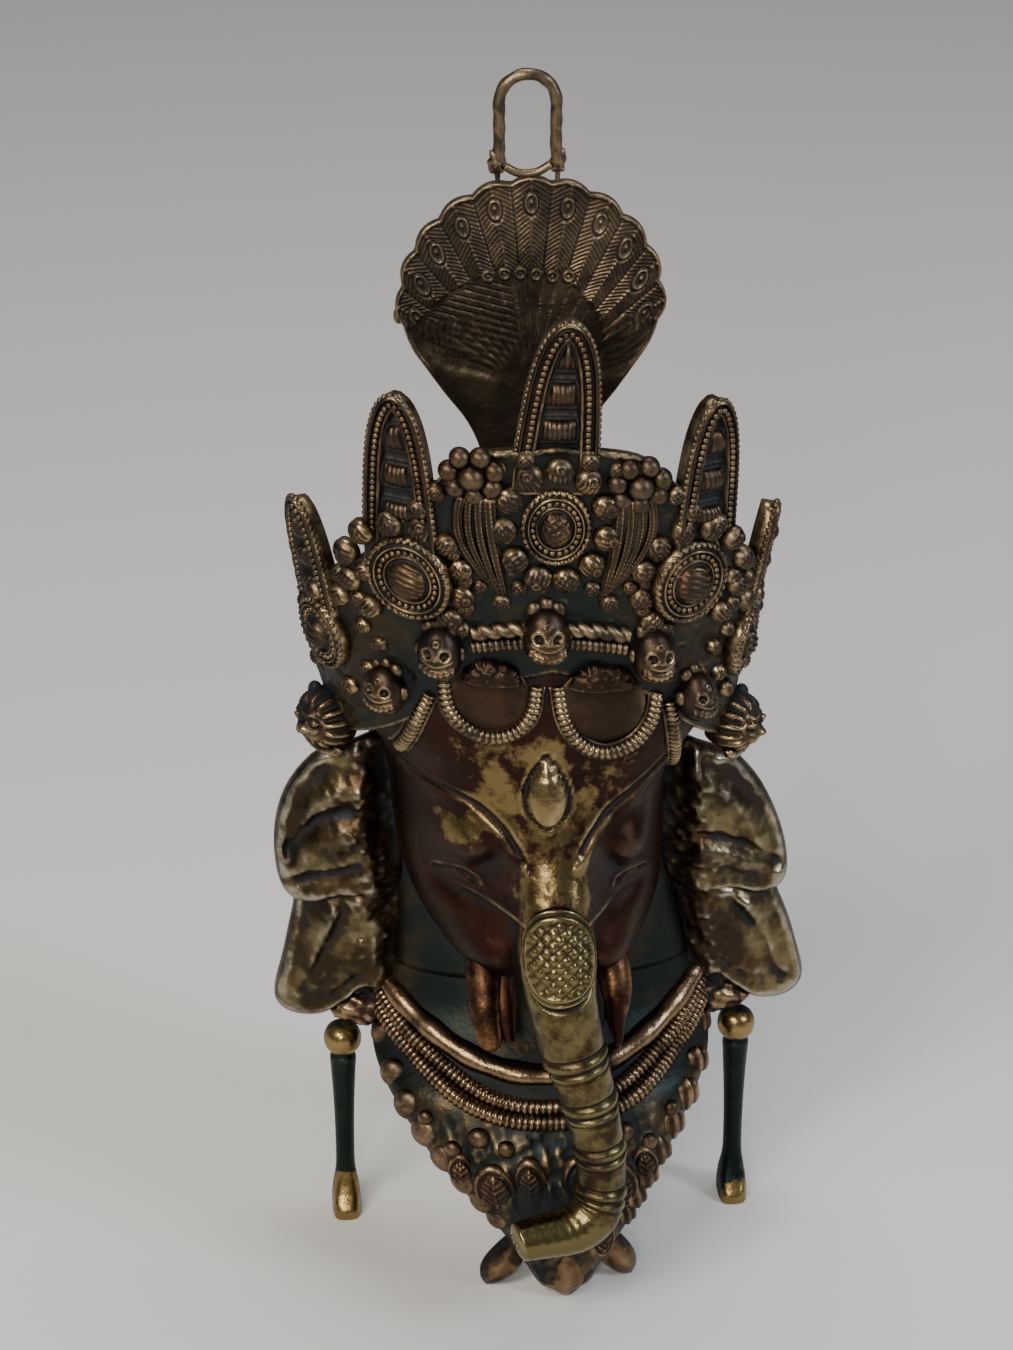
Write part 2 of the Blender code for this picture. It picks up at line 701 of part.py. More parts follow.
def hanging_loop(name):
    mid_x, mid_z = FAN_CENTRE
    foot = mid_z + FAN_RADIUS - 8.0
    top = mid_z + FAN_RADIUS + LOOP_HEIGHT - LOOP_ROD_RADIUS
    spring = top - LOOP_HALF_WIDTH
    middle = TOUCH_GAP + FAN_THICKNESS / 2
    line = [(-LOOP_HALF_WIDTH - 0.6, foot, 1.2), (-LOOP_HALF_WIDTH - 0.6, foot + 14.0, 1.25)]
    line += [(-LOOP_HALF_WIDTH, foot + 19.0, 1.0), (-LOOP_HALF_WIDTH, spring - 6.0, 1.0)]
    for i in range(7):
        angle = math.pi - math.pi * i / 6
        line.append((LOOP_HALF_WIDTH * math.cos(angle), spring + LOOP_HALF_WIDTH * math.sin(angle), 1.0))
    line += [(-x, z, thick) for x, z, thick in reversed(line[:4])]
    rows = [(mid_x + LOOP_OFFSET + x, middle, z, LOOP_ROD_RADIUS * thick) for x, z, thick in line]
    return tube(name, rows, 8)


def merge(name, pieces, material, cutters=(), extra=()):
    """One casting: the pieces joined, the cutters taken out, and then the extra pieces joined."""
    base = pieces[0]
    steps = [("UNION", pieces[1:])] + [("DIFFERENCE", [cutter]) for cutter in cutters] + [("UNION", extra)]
    for operation, others in steps:
        if not others:
            continue
        group = bpy.data.collections.new(f"{name}_{operation}")
        for other in others:
            group.objects.link(other)
        modifier = base.modifiers.new(operation, "BOOLEAN")
        modifier.operation = operation
        modifier.operand_type = "COLLECTION"
        modifier.collection = group
        modifier.solver = "EXACT"
        bpy.context.view_layer.update()
        graph = bpy.context.evaluated_depsgraph_get()
        mesh = bpy.data.meshes.new_from_object(base.evaluated_get(graph))
        base.modifiers.clear()
        base.data = mesh
        for other in others:
            bpy.data.objects.remove(other)
        bpy.data.collections.remove(group)
    base.name = name
    return finished(base, material)


def finished(obj, material):
    obj.data.materials.clear()
    obj.data.materials.append(material)
    obj.data.shade_smooth()
    obj.data.set_sharp_from_angle(angle=math.radians(40))
    return obj


def crown_run(rows, lift):
    """Places on the crown's outer face from rows of (plan x, height)."""
    return [framed(crown_place(x, z), 0.0, 0.0, lift) for x, z in rows]


def head_ornaments():
    """Skulls, swags and ropes of the headband, and the beasts at its ends."""
    made = []
    for i, (x, z, size) in enumerate(SKULLS):
        here, _, _, out = crown_place(x, z)
        place = here + out * SKULL_LIFT
        made.append(skull(f"skull{i}", place, math.atan2(out.x, -out.y), size))
    for hand in (-1, 1):
        here, _, _, out = crown_place(hand * BEAST[0], BEAST[1])
        made += beast_head(f"beast{hand}", here + out * BEAST_LIFT, math.atan2(out.x, -out.y), BEAST_SIZE)
        height, step, fall, radius = BROW_ROPE
        rows = [(hand * step * (1 + i), height - fall * i**2) for i in range(5)]
        made.append(tube(f"brow_rope{hand}", [(*p, radius) for p in crown_run(rows, 0.0)], 5))
        for k, (start, end, low) in enumerate(SWAGS):
            swag = []
            for i in range(7):
                share = i / 6
                x = start[0] + (end[0] - start[0]) * share
                hang = 4 * share * (1 - share)
                z = start[1] + (end[1] - start[1]) * share
                z += (low - 0.5 * (start[1] + end[1])) * hang
                swag.append((hand * x, -head_surface(x, z) - 0.6, z, SWAG_RADIUS))
            made.append(tube(f"swag{hand}{k}", swag, 5))
    return made


def crown_ornaments():
    """Leaves, medallions with their bosses, rosettes and the fluted locks between them."""
    made = []
    for i, place in enumerate(LEAF_PLACES):
        made += crown_leaf(f"leaf{i}", place, LEAF_TIP_HEIGHT[i], LEAF_WIDTH[i], math.radians(LEAF_LEANS[i]))
    for i, (x, z, wide, high) in enumerate(MEDALLIONS):
        made.append(medallion(f"medallion{i}", x, z, wide, high, MEDALLION_SIDES))
        petals = PETAL_COUNTS[i]
        if petals:
            frame, reach = crown_place(x, z), PETAL_REACHES[i]
            sizes = (wide + reach, high + reach, 2 * petals, LOBE_DEPTH)
            made.append(turned(f"petals{i}", frame, PETAL_PROFILE, *sizes))
    for hand in (-1, 1):
        frame = crown_place(hand * ROSETTE[0], ROSETTE[1])
        made.append(turned(f"rosette{hand}", frame, ROSETTE_PROFILE, ROSETTE_RADIUS, ROSETTE_RADIUS, 12, 0.25))
        line = []
        for i in range(6):
            share = i / 5
            inward, bow, fall = LOCK_RUN
            x = hand * (LOCK_START[0] - inward * share**1.4 + bow * math.sin(math.pi * share))
            place = crown_run([(x, LOCK_START[1] - fall * share)], 0.4)[0]
            line.append((*place, LOCK_RADIUS * (1.05 - 0.6 * share)))
        made.append(tube(f"lock{hand}", line, 6))
    return made


def collar_ornaments():
    """The neck roll, two ropes, and the bosses and pendants of the bib."""
    made = []
    for i, (height, drop, radius, lift) in enumerate(COLLAR_ROPES):
        line = [(*p, radius) for p in spaced(collar_line(height, drop, lift), COLLAR_STEP)]
        made.append(tube(f"collar_rope{i}", line, 5))
    for hand in (-1, 1):
        for i, (x, z, size) in enumerate(BIB_BOSSES):
            made.append(bib_boss(f"bib_boss{hand}{i}", hand * x, z, size))
        for i, (x, z, wide, high) in enumerate(PENDANTS):
            place = (hand * x, -neck_surface(x, z), z)
            made.append(ball(f"pendant{hand}{i}", place, (wide, PENDANT_THICKNESS, high), 6, 3))
    for i, (x, y, turn) in enumerate(LOBES):
        made.append(lobe(f"lobe{i}", x, y, math.radians(turn), LOBE_SIZE))
    return made


def leg_lug(name, hand):
    """The lug beside the collar's end that a leg's head is fixed under."""
    low = LEG_HEAD_TOP + TOUCH_GAP
    rings = []
    for share, z in ((1.0, low), (1.0, low + LUG_SHOULDER), (0.7, low + LUG_HEIGHT)):
        inner, outer = hand * LUG_INNER, hand * (LEG_PLACE[0] + LUG_OUTER_STEP * (2 * share - 1))
        front, back = LEG_PLACE[1] - LUG_FRONT_STEP * share, LUG_BACK
        rings.append([(inner, front, z), (outer, front, z), (outer, back, z), (inner, back, z)])
    return loft(name, rings)


def mask(material):
    pieces = [
        head_solid("mask", 0.0, 0.0, 14, 1),
        neck_solid("neck", 0.0, 0.0, 10, 1),
        crown_wall("crown_wall", 16),
        trunk("trunk"),
    ]
    for hand in (-1, 1):
        pieces.append(ear_lobe(f"ear_low{hand}", EAR_LOWER, hand, EAR_SWELL, -1.5))
        pieces.append(ear_lobe(f"ear_high{hand}", EAR_UPPER, hand, EAR_SWELL, 2.5))
        line = [(hand * p[0], p[1], p[2], r) for p, r in zip((TUSK_ROOT, TUSK_BELLY, TUSK_TIP), TUSK_RADII)]
        pieces.append(tube(f"tusk{hand}", [tuple(row) for row in smooth_curve(line, 3)], 8))
        pieces.append(leg_lug(f"lug{hand}", hand))
    eye_x, eye_z = THIRD_EYE
    pieces.append(ball("third_eye", (eye_x, -head_surface(eye_x, eye_z) - 1.0, eye_z), THIRD_EYE_SIZE, 7, 4))
    pieces.append(ball("plaque", plaque_place(), TRUNK_PLAQUE_SIZE, 10, 4))
    pieces += head_ornaments() + crown_ornaments() + collar_ornaments()
    hollow = [
        head_solid("head_hollow", HEAD_WALL, HOLLOW_OVERRUN, 12, 1),
        neck_solid("neck_hollow", NECK_WALL, NECK_OVERRUN, 10, 1),
    ]
    seat = fan_seat("fan_seat")
    return lean(merge("mask", pieces, material, hollow, [seat]))


def ease(x, start, end):
    """0 at the start and 1 at the end, with a smooth change between them."""
    t = min(max((x - start) / (end - start), 0.0), 1.0)
    return t * t * (3 - 2 * t)


def lean(obj):
    """Gives the casting the slight lean of a thing modelled in wax by hand."""
    for vertex in obj.data.vertices:
        x, y, z = (c / MM for c in vertex.co)
        rise = ease(z, *LEAN_LEVELS)
        aside = LEAN_ASIDE * rise * ease(y, *LEAN_DEPTHS) + PENDANT_ASIDE * ease(z, *PENDANT_LEVELS)
        vertex.co = ((x + aside) * MM, y * MM, (z + LEAN_UP * x * rise) * MM)
    return obj


def fan_seat(name):
    """The web that closes the top of the open back, and that the fan's stem lies against."""
    rings = []
    skull_top = HEAD_STATIONS[-1][0]
    low = min(FAN_STEM_FOOT, skull_top - FAN_SEAT_DROP)
    high = max(skull_top - FAN_SEAT_EDGE, FAN_STEM_FOOT + FAN_SEAT_HEIGHT)
    for share in FAN_SEAT_SHARES:
        z = low + (high - low) * share
        half = between([(row[0], row[1]) for row in HEAD_STATIONS], z) - HEAD_WALL / 2
        rings.append([(-half, -FAN_SEAT_THICKNESS, z), (half, -FAN_SEAT_THICKNESS, z), (half, -BACK_STEP, z), (-half, -BACK_STEP, z)])
    return loft(name, rings)


def set_origin(objects):
    """Moves every piece so that the origin is the middle of the base."""
    bpy.context.view_layer.update()
    corners = np.array([v.co[:] for obj in objects for v in obj.data.vertices])
    middle = (corners.min(axis=0) + corners.max(axis=0)) / 2
    for obj in objects:
        for vertex in obj.data.vertices:
            vertex.co.x -= middle[0]
            vertex.co.y -= middle[1]
    print("moved by", middle[0] / MM, middle[1] / MM, "low", corners[:, 2].min() / MM)


def main():
    clear_scene()
    bronze = metal("cast_bronze", BRONZE, 0.35)
    dark = metal("dark_bronze", DARK_BRONZE, 0.45)
    brown = metal("brown_bronze", BROWN_BRONZE, 0.45)
    objects = [
        mask(bronze),
        merge("peacock_fan", [fan_plate("peacock_fan"), hanging_loop("loop")], brown),
        finished(leg("leg_left", -1), dark),
        finished(leg("leg_right", 1), dark),
    ]
    set_origin(objects)


main()
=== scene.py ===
"""The looks of a lost-wax cast elephant-headed mask: its carved surface, its patina and its light.

Sizes are in millimetres until a mesh is made. The mask faces -Y, the viewer's right is +X, and in the
mask's own frame y = 0 is the plane of its open back.
"""

import math

import bmesh
import bpy
import numpy as np
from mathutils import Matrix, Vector


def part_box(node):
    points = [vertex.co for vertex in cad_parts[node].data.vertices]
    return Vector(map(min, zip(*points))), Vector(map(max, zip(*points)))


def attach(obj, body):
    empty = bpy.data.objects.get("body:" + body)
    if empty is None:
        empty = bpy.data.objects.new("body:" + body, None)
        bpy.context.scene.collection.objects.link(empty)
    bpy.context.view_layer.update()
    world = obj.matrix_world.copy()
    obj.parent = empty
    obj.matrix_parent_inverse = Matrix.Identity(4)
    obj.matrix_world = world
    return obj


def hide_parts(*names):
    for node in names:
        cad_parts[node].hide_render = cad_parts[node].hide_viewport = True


bl_info = {
    "name": "Cast elephant-headed mask",
    "version": (1, 0, 0),
    "blender": (4, 5, 0),
    "location": "View3D > Sidebar > Mask",
    "description": "Builds the carved surface, the patina and the stage of a cast mask around its packed solids",
    "category": "Object",
}

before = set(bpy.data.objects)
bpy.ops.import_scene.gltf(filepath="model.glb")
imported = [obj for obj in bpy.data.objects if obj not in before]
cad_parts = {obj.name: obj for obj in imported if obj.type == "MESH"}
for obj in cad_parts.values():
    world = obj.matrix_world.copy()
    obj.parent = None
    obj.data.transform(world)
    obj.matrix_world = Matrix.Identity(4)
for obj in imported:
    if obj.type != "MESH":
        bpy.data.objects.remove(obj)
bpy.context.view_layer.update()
MM = 0.001
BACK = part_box("mask")[1].y / MM

# Walls
HEAD_WALL = 4.0
NECK_WALL = 4.0
CROWN_WALL = 4.5
BACK_STEP = 0.5

# The web that closes the top of the open back
WEB_HEIGHTS = (262.0, 290.0)
WEB_WALL = 4.5

# Head: height, half width and depth in front of the open back
HEAD_STATIONS = (
    (113.0, 16.0, 38.0),
    (120.0, 28.0, 48.0),
    (131.0, 38.0, 55.0),
    (146.0, 46.0, 60.0),
    (162.0, 49.5, 63.0),
    (180.0, 51.0, 65.0),
    (200.0, 52.0, 66.5),
    (214.0, 56.0, 68.0),
    (230.0, 68.0, 68.0),
    (246.0, 73.0, 68.0),
    (262.0, 70.0, 65.0),
    (275.0, 59.0, 55.0),
    (285.0, 42.0, 39.0),
    (292.0, 18.0, 17.0),
)
HEAD_ROUNDNESS = 2.4

# Neck and bib: height, half width, depth in front, depth at the side edges
NECK_STATIONS = (
    (4.0, 11.0, 76.0, 66.0),
    (20.0, 20.0, 77.0, 64.0),
    (40.0, 36.0, 76.0, 55.0),
    (58.0, 51.0, 71.5, 38.0),
    (75.0, 63.0, 62.0, 18.0),
    (87.0, 64.0, 48.0, 0.0),
    (108.0, 61.0, 34.0, 0.0),
    (150.0, 56.5, 25.0, 0.0),
    (215.0, 58.0, 16.0, 0.0),
)
NECK_ROUNDNESS = 2.3

# Crown wall in plan, at its foot and its rim
CROWN_FOOT = (74.0, 67.0)
CROWN_RIM = (84.0, 76.0)
CROWN_ROUNDNESS = 2.6
CROWN_END = 76.0
CROWN_FOOT_HEIGHT = ((0.0, 262.0), (38.0, 252.0), (58.0, 236.0), (84.0, 218.0))
CROWN_RIM_HEIGHT = ((0.0, 352.0), (28.0, 348.0), (40.0, 338.0), (52.0, 320.0), (66.0, 296.0), (84.0, 272.0))

# Crown leaves: plan position, height of the tip, width, lean in degrees
LEAVES = (
    (-78.0, 317.0, 22.0, 11.0),
    (-53.0, 368.0, 25.0, 6.0),
    (3.5, 399.0, 28.0, 5.0),
    (53.0, 368.0, 25.0, 6.0),
    (78.0, 317.0, 22.0, 11.0),
)
# The bosses of a leaf's panel: place up the leaf, half height, and 1 where the ribs are close
TALL_LEAF_BOSSES = ((0.2, 4.2, 1), (0.47, 4.6, 1), (0.76, 5.4, 0))
LEAF_BOSSES = ((0.16, 3.6, 1), (0.42, 4.4, 1), (0.7, 4.8, 0))
LEAF_ROOT = 14.0
MIDDLE_LEAF_SHIFT = -4.0
LEAF_THICKNESS = 6.0

# Medallions: plan position, height of the middle, half width, half height, bosses around, their reach
MEDALLIONS = (
    (-0.5, 322.0, 12.0, 15.0, 11, 6.6),
    (-51.0, 298.0, 15.0, 16.5, 12, 4.4),
    (49.0, 298.0, 15.0, 16.5, 12, 4.4),
    (-77.0, 264.0, 12.5, 14.0, 0, 0.0),
    (75.0, 264.0, 12.5, 14.0, 0, 0.0),
)
ROSETTES = ((-29.0, 341.0), (28.0, 338.0))
# Bosses of the crown's rim and field: plan position, height, radius
RIM_BOSSES = (
    (13.5, 297.0, 3.0), (41.0, 333.0, 3.6), (46.5, 326.0, 3.9), (55.5, 320.0, 3.9),
    (35.5, 338.0, 3.4), (20.5, 343.5, 3.2), (64.0, 297.0, 3.6), (66.0, 285.0, 3.4),
    (71.0, 284.0, 4.2), (77.0, 281.0, 4.0), (33.0, 288.0, 3.2), (35.0, 279.0, 3.4),
    (36.5, 310.0, 3.2), (33.0, 299.0, 3.0), (66.0, 274.0, 3.2), (62.0, 268.0, 3.2),
    (20.0, 291.0, 3.4), (27.5, 297.0, 2.8), (70.0, 293.0, 3.6), (68.5, 301.0, 3.4),
    (80.0, 250.0, 3.6), (72.0, 246.0, 3.6), (66.0, 256.0, 3.4), (80.5, 272.0, 3.2),
    (43.0, 279.0, 3.0), (27.0, 344.0, 3.0), (11.0, 347.0, 3.4),
)

# Headband
SKULLS = (  # plan position, height, size
    (-3.5, 278.5, 8.2),
    (-42.5, 269.5, 7.6),
    (37.5, 269.5, 7.6),
    (-61.0, 250.0, 7.0),
    (56.0, 250.0, 7.0),
)
# Ribbed swags over the forehead and down the temples, as (x, z)
SWAGS = (
    ((-37.5, 259.0), (-36.0, 247.0), (-31.0, 240.0), (-22.5, 236.5), (-13.5, 239.5), (-8.0, 246.5), (-6.0, 257.0)),
    ((1.5, 257.0), (3.5, 245.0), (9.0, 235.5), (18.0, 231.0), (28.5, 234.0), (35.0, 242.0), (37.5, 252.0)),
    ((-42.0, 250.0), (-45.5, 240.0), (-50.0, 223.0)),
    ((42.0, 248.0), (44.5, 236.0), (47.5, 217.0)),
)
BEASTS = ((-80.0, 225.0), (80.0, 225.0))
BEAST_SIZE = 11.0

# Face: brows, eye slits and the third eye as (x, z)
BROWS = (
    ((-48.0, 212.5), (-36.0, 210.0), (-26.5, 207.0), (-18.0, 200.5), (-12.0, 191.0)),
    ((42.5, 222.5), (31.0, 213.5), (20.5, 207.0), (13.7, 200.0), (9.5, 193.5)),
)
SLITS = (((-37.0, 172.5), (-31.5, 175.0), (-26.5, 172.5)), ((26.5, 172.0), (32.0, 173.5), (37.5, 171.5)))
THIRD_EYE = (-2.4, 216.0, 7.2, 13.0)
EYELID = (29.0, 190.0, 16.0, 12.0, 8.5)
SOCKET = (31.0, 168.0, 14.0, 9.0, 7.5)

# Trunk: centre line and radius, its ring bands and its oval plaque
TRUNK_LINE = (
    (0.0, -50.0, 208.0, 7.0),
    (0.0, -60.0, 192.0, 10.5),
    (0.0, -70.0, 175.0, 12.5),
    (0.5, -77.0, 157.0, 14.2),
    (2.0, -82.0, 138.0, 12.8),
    (6.0, -85.0, 118.0, 11.6),
    (11.5, -87.0, 98.0, 10.2),
    (15.5, -88.0, 78.0, 9.4),
    (16.5, -88.0, 62.0, 9.0),
    (13.5, -90.0, 50.0, 9.0),
    (4.5, -93.0, 44.0, 8.8),
    (-8.0, -96.0, 43.0, 8.0),
    (-18.5, -99.0, 43.0, 7.0),
)
TRUNK_BANDS = (115.0, 96.5, 77.0, 58.5)
TRUNK_ROOT = (  # heights, and how far forward the root stands there
    (150.0, 160.0, 165.0, 176.0, 185.0, 192.0, 203.0, 222.0),
    (92.5, 89.8, 88.2, 83.8, 78.6, 74.8, 69.6, 58.0),
)
PLAQUE = (0.3, 155.0, 15.0, 17.0)
TUSK = (
    (22.0, -44.0, 140.0, 6.0),
    (23.5, -52.5, 131.0, 6.8),
    (24.0, -60.5, 119.0, 5.8),
    (22.0, -67.0, 106.0, 4.4),
)
MOUTH_FOLD = ((16.0, -50, 135, 4.0), (17.0, -59, 122, 4.4), (15.5, -66, 109, 2.0))

# Ears: outlines in the ear's own plane
EAR_UPPER = (
    (50.0, 206.0),
    (72.0, 205.0),
    (84.5, 193.0),
    (92.5, 176.0),
    (95.7, 158.0),
    (94.0, 144.0),
    (86.0, 139.0),
    (72.0, 143.0),
    (50.0, 148.0),
)
EAR_LOWER = (
    (50.0, 158.0),
    (70.0, 153.0),
    (87.0, 146.0),
    (92.5, 132.0),
    (97.5, 113.0),
    (100.9, 96.0),
    (95.5, 88.5),
    (84.0, 88.5),
    (75.0, 95.0),
    (66.0, 103.0),
    (50.0, 104.0),
)
# Folds and grooves of each ear's lobes, by lobe and side (-1 is the viewer's left)
EAR_FOLDS = {
    ("high", -1): (
        ((60, 190), (72, 187), (84, 178), (88, 168)),
        ((62, 172), (74, 168), (84, 160), (90, 150)),
    ),
    ("high", 1): (((62, 196), (76, 186), (84, 172), (88, 158)), ((66, 163), (78, 158), (90, 150))),
    ("low", -1): (((66, 143), (76, 132), (84, 116), (92, 100)), ((78, 139), (88, 122), (96, 104))),
    ("low", 1): (((64, 146), (78, 133), (86, 112), (93, 97)), ((74, 143), (88, 128), (95, 104))),
}
EAR_GROOVES = {
    ("high", -1): (((66, 180), (78, 175), (90, 160)), ((64, 157), (78, 152), (92, 148))),
    ("high", 1): (((64, 171), (78, 165), (92, 153)),),
    ("low", -1): (((72, 138), (82, 118), (90, 101)),),
    ("low", 1): (((72, 138), (82, 120), (88, 104), (92, 98)),),
}
EAR_PLANE_DEPTH = 21.0
EAR_SWEEP = 0.24
EAR_THICKNESS = 4.5

# Collar: height at the ends, drop to the front, radius, lift; the bosses and lobes of the bib
COLLAR_HALF_SPAN = 61.0
COLLAR_RUNS = ((107.5, -24.0, 4.6, -1.2), (99.5, -23.4, 3.0, 0.2), (93.6, -22.0, 3.0, 0.2))
BIB_EDGE = (
    (63.0, 84.0, 4.2),
    (59.5, 77.0, 5.0),
    (54.5, 69.5, 5.4),
    (48.5, 62.0, 5.4),
    (42.5, 54.5, 5.2),
    (36.5, 47.5, 5.0),
    (31.0, 40.5, 4.6),
    (26.5, 33.5, 4.0),
)
BIB_BOSSES = ((27.0, 66.0, 4.4), (36.5, 60.5, 3.6), (46.0, 69.0, 3.2), (17.0, 63.0, 3.6))
BIB_LEAVES = ((22.5, 47.0, 8.5, 11.0), (9.0, 50.0, 6.5, 11.5), (34.0, 52.0, 5.5, 8.0), (14.0, 27.0, 5.0, 10.0))
LOBES = ((-28.0, -64.0, -28.0), (0.5, -73.0, 0.0), (25.0, -61.0, 32.0))
LOBE_SIZE = 9.0
LOBE_PROFILE = ((0.0, 0.35), (2.5, 0.7), (7.0, 1.0), (13.0, 0.95), (21.0, 0.6), (26.0, 0.3))

# Legs
LEG_PLACE = (75.5, -10.0)
LEG_TOP = 83.5
LEG_PROFILE = (  # height, then reach to the heel, to the toe and to each side
    (LEG_TOP - 1.2, 0.8, 0.8, 0.8),
    (LEG_TOP - 0.2, 2.4, 2.4, 2.4),
    (LEG_TOP, 3.6, 3.6, 3.6),
    (LEG_TOP - 1.8, 5.9, 5.9, 5.9),
    (LEG_TOP - 5.0, 7.1, 7.1, 7.1),
    (LEG_TOP - 8.4, 6.9, 6.9, 6.9),
    (LEG_TOP - 10.6, 5.7, 5.7, 5.7),
    (LEG_TOP - 11.8, 4.4, 4.4, 4.4),
    (LEG_TOP - 13.0, 4.5, 4.5, 4.5),
    (LEG_TOP - 14.6, 5.0, 5.0, 5.0),
    (LEG_TOP - 20.0, 4.7, 4.7, 4.7),
    (LEG_TOP - 32.0, 4.1, 4.1, 4.1),
    (38.0, 3.7, 3.7, 3.7),
    (26.0, 3.6, 3.6, 3.6),
    (18.0, 3.7, 3.9, 3.8),
    (10.0, 5.0, 7.0, 5.0),
    (4.6, 5.9, 10.6, 5.5),
    (2.6, 6.0, 11.4, 5.5),
    (0.4, 6.0, 11.5, 5.5),
    (0.0, 5.7, 11.2, 5.2),
)

# Peacock tail and loop
FAN_CENTRE = (-3.4, 372.0)
FAN_RADIUS = 47.6
FAN_SCALLOPS = 11
FAN_SCALLOP_DEPTH = 2.2
FAN_FRONT = 0.3
FAN_THICKNESS = 3.0
FAN_WAIST = ((41.0, 355.0), (31.0, 340.0), (22.5, 328.0), (17.5, 315.0), (15.5, 296.0), (15.5, 262.0))
FEATHER_ORIGIN = (-3.4, 340.0)
LOOP_OFFSET = -1.3
LOOP_HALF_WIDTH = 9.8
LOOP_HEIGHT = 39.0
LOOP_ROD_RADIUS = 2.1

# The slight lean of a thing modelled in wax by hand
LEAN_ASIDE = -5.5
LEAN_UP = -0.045
LEAN_LEVELS = (110.0, 190.0)
LEAN_DEPTHS = (-75.0, -30.0)
PENDANT_ASIDE = 4.7
PENDANT_LEVELS = (65.0, 20.0)

# The photograph's camera, in millimetres
CAMERA_PLACE = (-100.4, -1212.5, 899.4)
CAMERA_TARGET = (-14.19, 20.59, 242.14)
CAMERA_LENS = 104.2


def ease(x, start, end):
    """0 at the start and 1 at the end, with a smooth change between them."""
    t = np.clip((np.asarray(x, float) - start) / (end - start), 0.0, 1.0)
    return t * t * (3 - 2 * t)


def bump(x, middle, half):
    """1 in the middle, falling smoothly to 0 at half the width."""
    t = np.clip(np.abs(np.asarray(x, float) - middle) / half, 0.0, 1.0)
    return (1 - t * t) ** 2


def smooth_curve(points, steps, closed=False):
    """Points on a smooth curve through the given rows of numbers, with steps spans between each two."""
    rows = [np.array(p, float) for p in points]
    if closed:
        rows = [rows[-1], *rows, rows[0], rows[1]]
    else:
        rows = [2 * rows[0] - rows[1], *rows, 2 * rows[-1] - rows[-2]]
    found = []
    for a, b, c, d in zip(rows, rows[1:], rows[2:], rows[3:]):
        for t in np.arange(steps) / steps:
            found.append(
                0.5 * (2 * b + (c - a) * t + (2 * a - 5 * b + 4 * c - d) * t**2 + (3 * b - 3 * c + d - a) * t**3)
            )
    if not closed:
        found.append(rows[-2])
    return np.array(found)


HEAD = smooth_curve(HEAD_STATIONS, 12)
NECK = smooth_curve(NECK_STATIONS, 12)
TRUNK = smooth_curve(TRUNK_LINE, 28)


def read(table, at, column):
    """The column's value where the table's first column, which rises, is at the given places."""
    return np.interp(at, table[:, 0], table[:, column])


def even(points, count, closed=False):
    """Points spaced evenly along a line of points."""
    line = np.array(points, float)
    if closed:
        line = np.vstack([line, line[:1]])
    run = np.concatenate([[0.0], np.cumsum(np.linalg.norm(np.diff(line[:, :3], axis=0), axis=1))])
    at = np.linspace(0.0, run[-1], count + 1)[:-1] if closed else np.linspace(0.0, run[-1], count)
    return np.stack([np.interp(at, run, line[:, k]) for k in range(line.shape[1])], 1)


def line_length(points):
    """The length of a line of points."""
    return float(np.linalg.norm(np.diff(np.array(points, float)[:, :3], axis=0), axis=1).sum())


def near_line(x, z, line):
    """The distance from each place to a line of (x, z) points, and which side of it the place is on."""
    line = np.array(line, float)
    best = np.full(np.shape(x), 1e9)
    side = np.zeros(np.shape(x))
    for a, b in zip(line, line[1:]):
        run = b - a
        t = np.clip(((x - a[0]) * run[0] + (z - a[1]) * run[1]) / (run @ run), 0.0, 1.0)
        dx, dz = x - a[0] - t * run[0], z - a[1] - t * run[1]
        reach = np.hypot(dx, dz)
        closer = reach < best
        best = np.where(closer, reach, best)
        side = np.where(closer, np.sign(run[0] * dz - run[1] * dx), side)
    return best, side


def wander(x, y, z, size, seed=0.0):
    """A smooth unevenness from -1 to 1 with waves of about the given size, the same on each run."""
    total = 0.0
    for k, (a, b, c) in enumerate(((1.0, 0.63, -0.41), (-0.52, 0.93, 0.71), (0.37, -0.78, 1.07), (0.9, 0.3, 0.55))):
        total = total + np.sin((a * x + b * y + c * z) * 2 * math.pi / size + seed * (k + 1.7) + 1.3 * k)
    return total / 4


def grain(x, y, z, size, seed=0):
    """Irregular lumps from -1 to 1 of the given size, the same on each run."""
    place = [np.asarray(v, float) / size + 37.1 * (k + 1) for k, v in enumerate((x, y, z))]
    place = np.broadcast_arrays(*place)
    low = [np.floor(v).astype(np.int64) for v in place]
    part = [ease(v - base, 0.0, 1.0) for v, base in zip(place, low)]
    total = 0.0
    for corner in range(8):
        step = (corner & 1, corner >> 1 & 1, corner >> 2)
        mixed = seed * 974634777
        weight = 1.0
        for base, share, one, prime in zip(low, part, step, (73856093, 19349663, 83492791)):
            mixed = mixed ^ (base + one) * prime
            weight = weight * (share if one else 1 - share)
        mixed = (mixed ^ mixed >> 13) * 1274126177 & 0xFFFFFF
        total = total + weight * (mixed / 0x7FFFFF - 1.0)
    return total


def grid_faces(rows, columns, start=0, closed=False):
    """The faces between the points of a grid, closed round its columns where asked."""
    i = np.arange(rows - 1)[:, None]
    j = np.arange(columns if closed else columns - 1)[None, :]
    a, b = start + i * columns + j, start + i * columns + (j + 1) % columns
    return np.stack([a, b, b + columns, a + columns], -1).reshape(-1, 4).tolist()


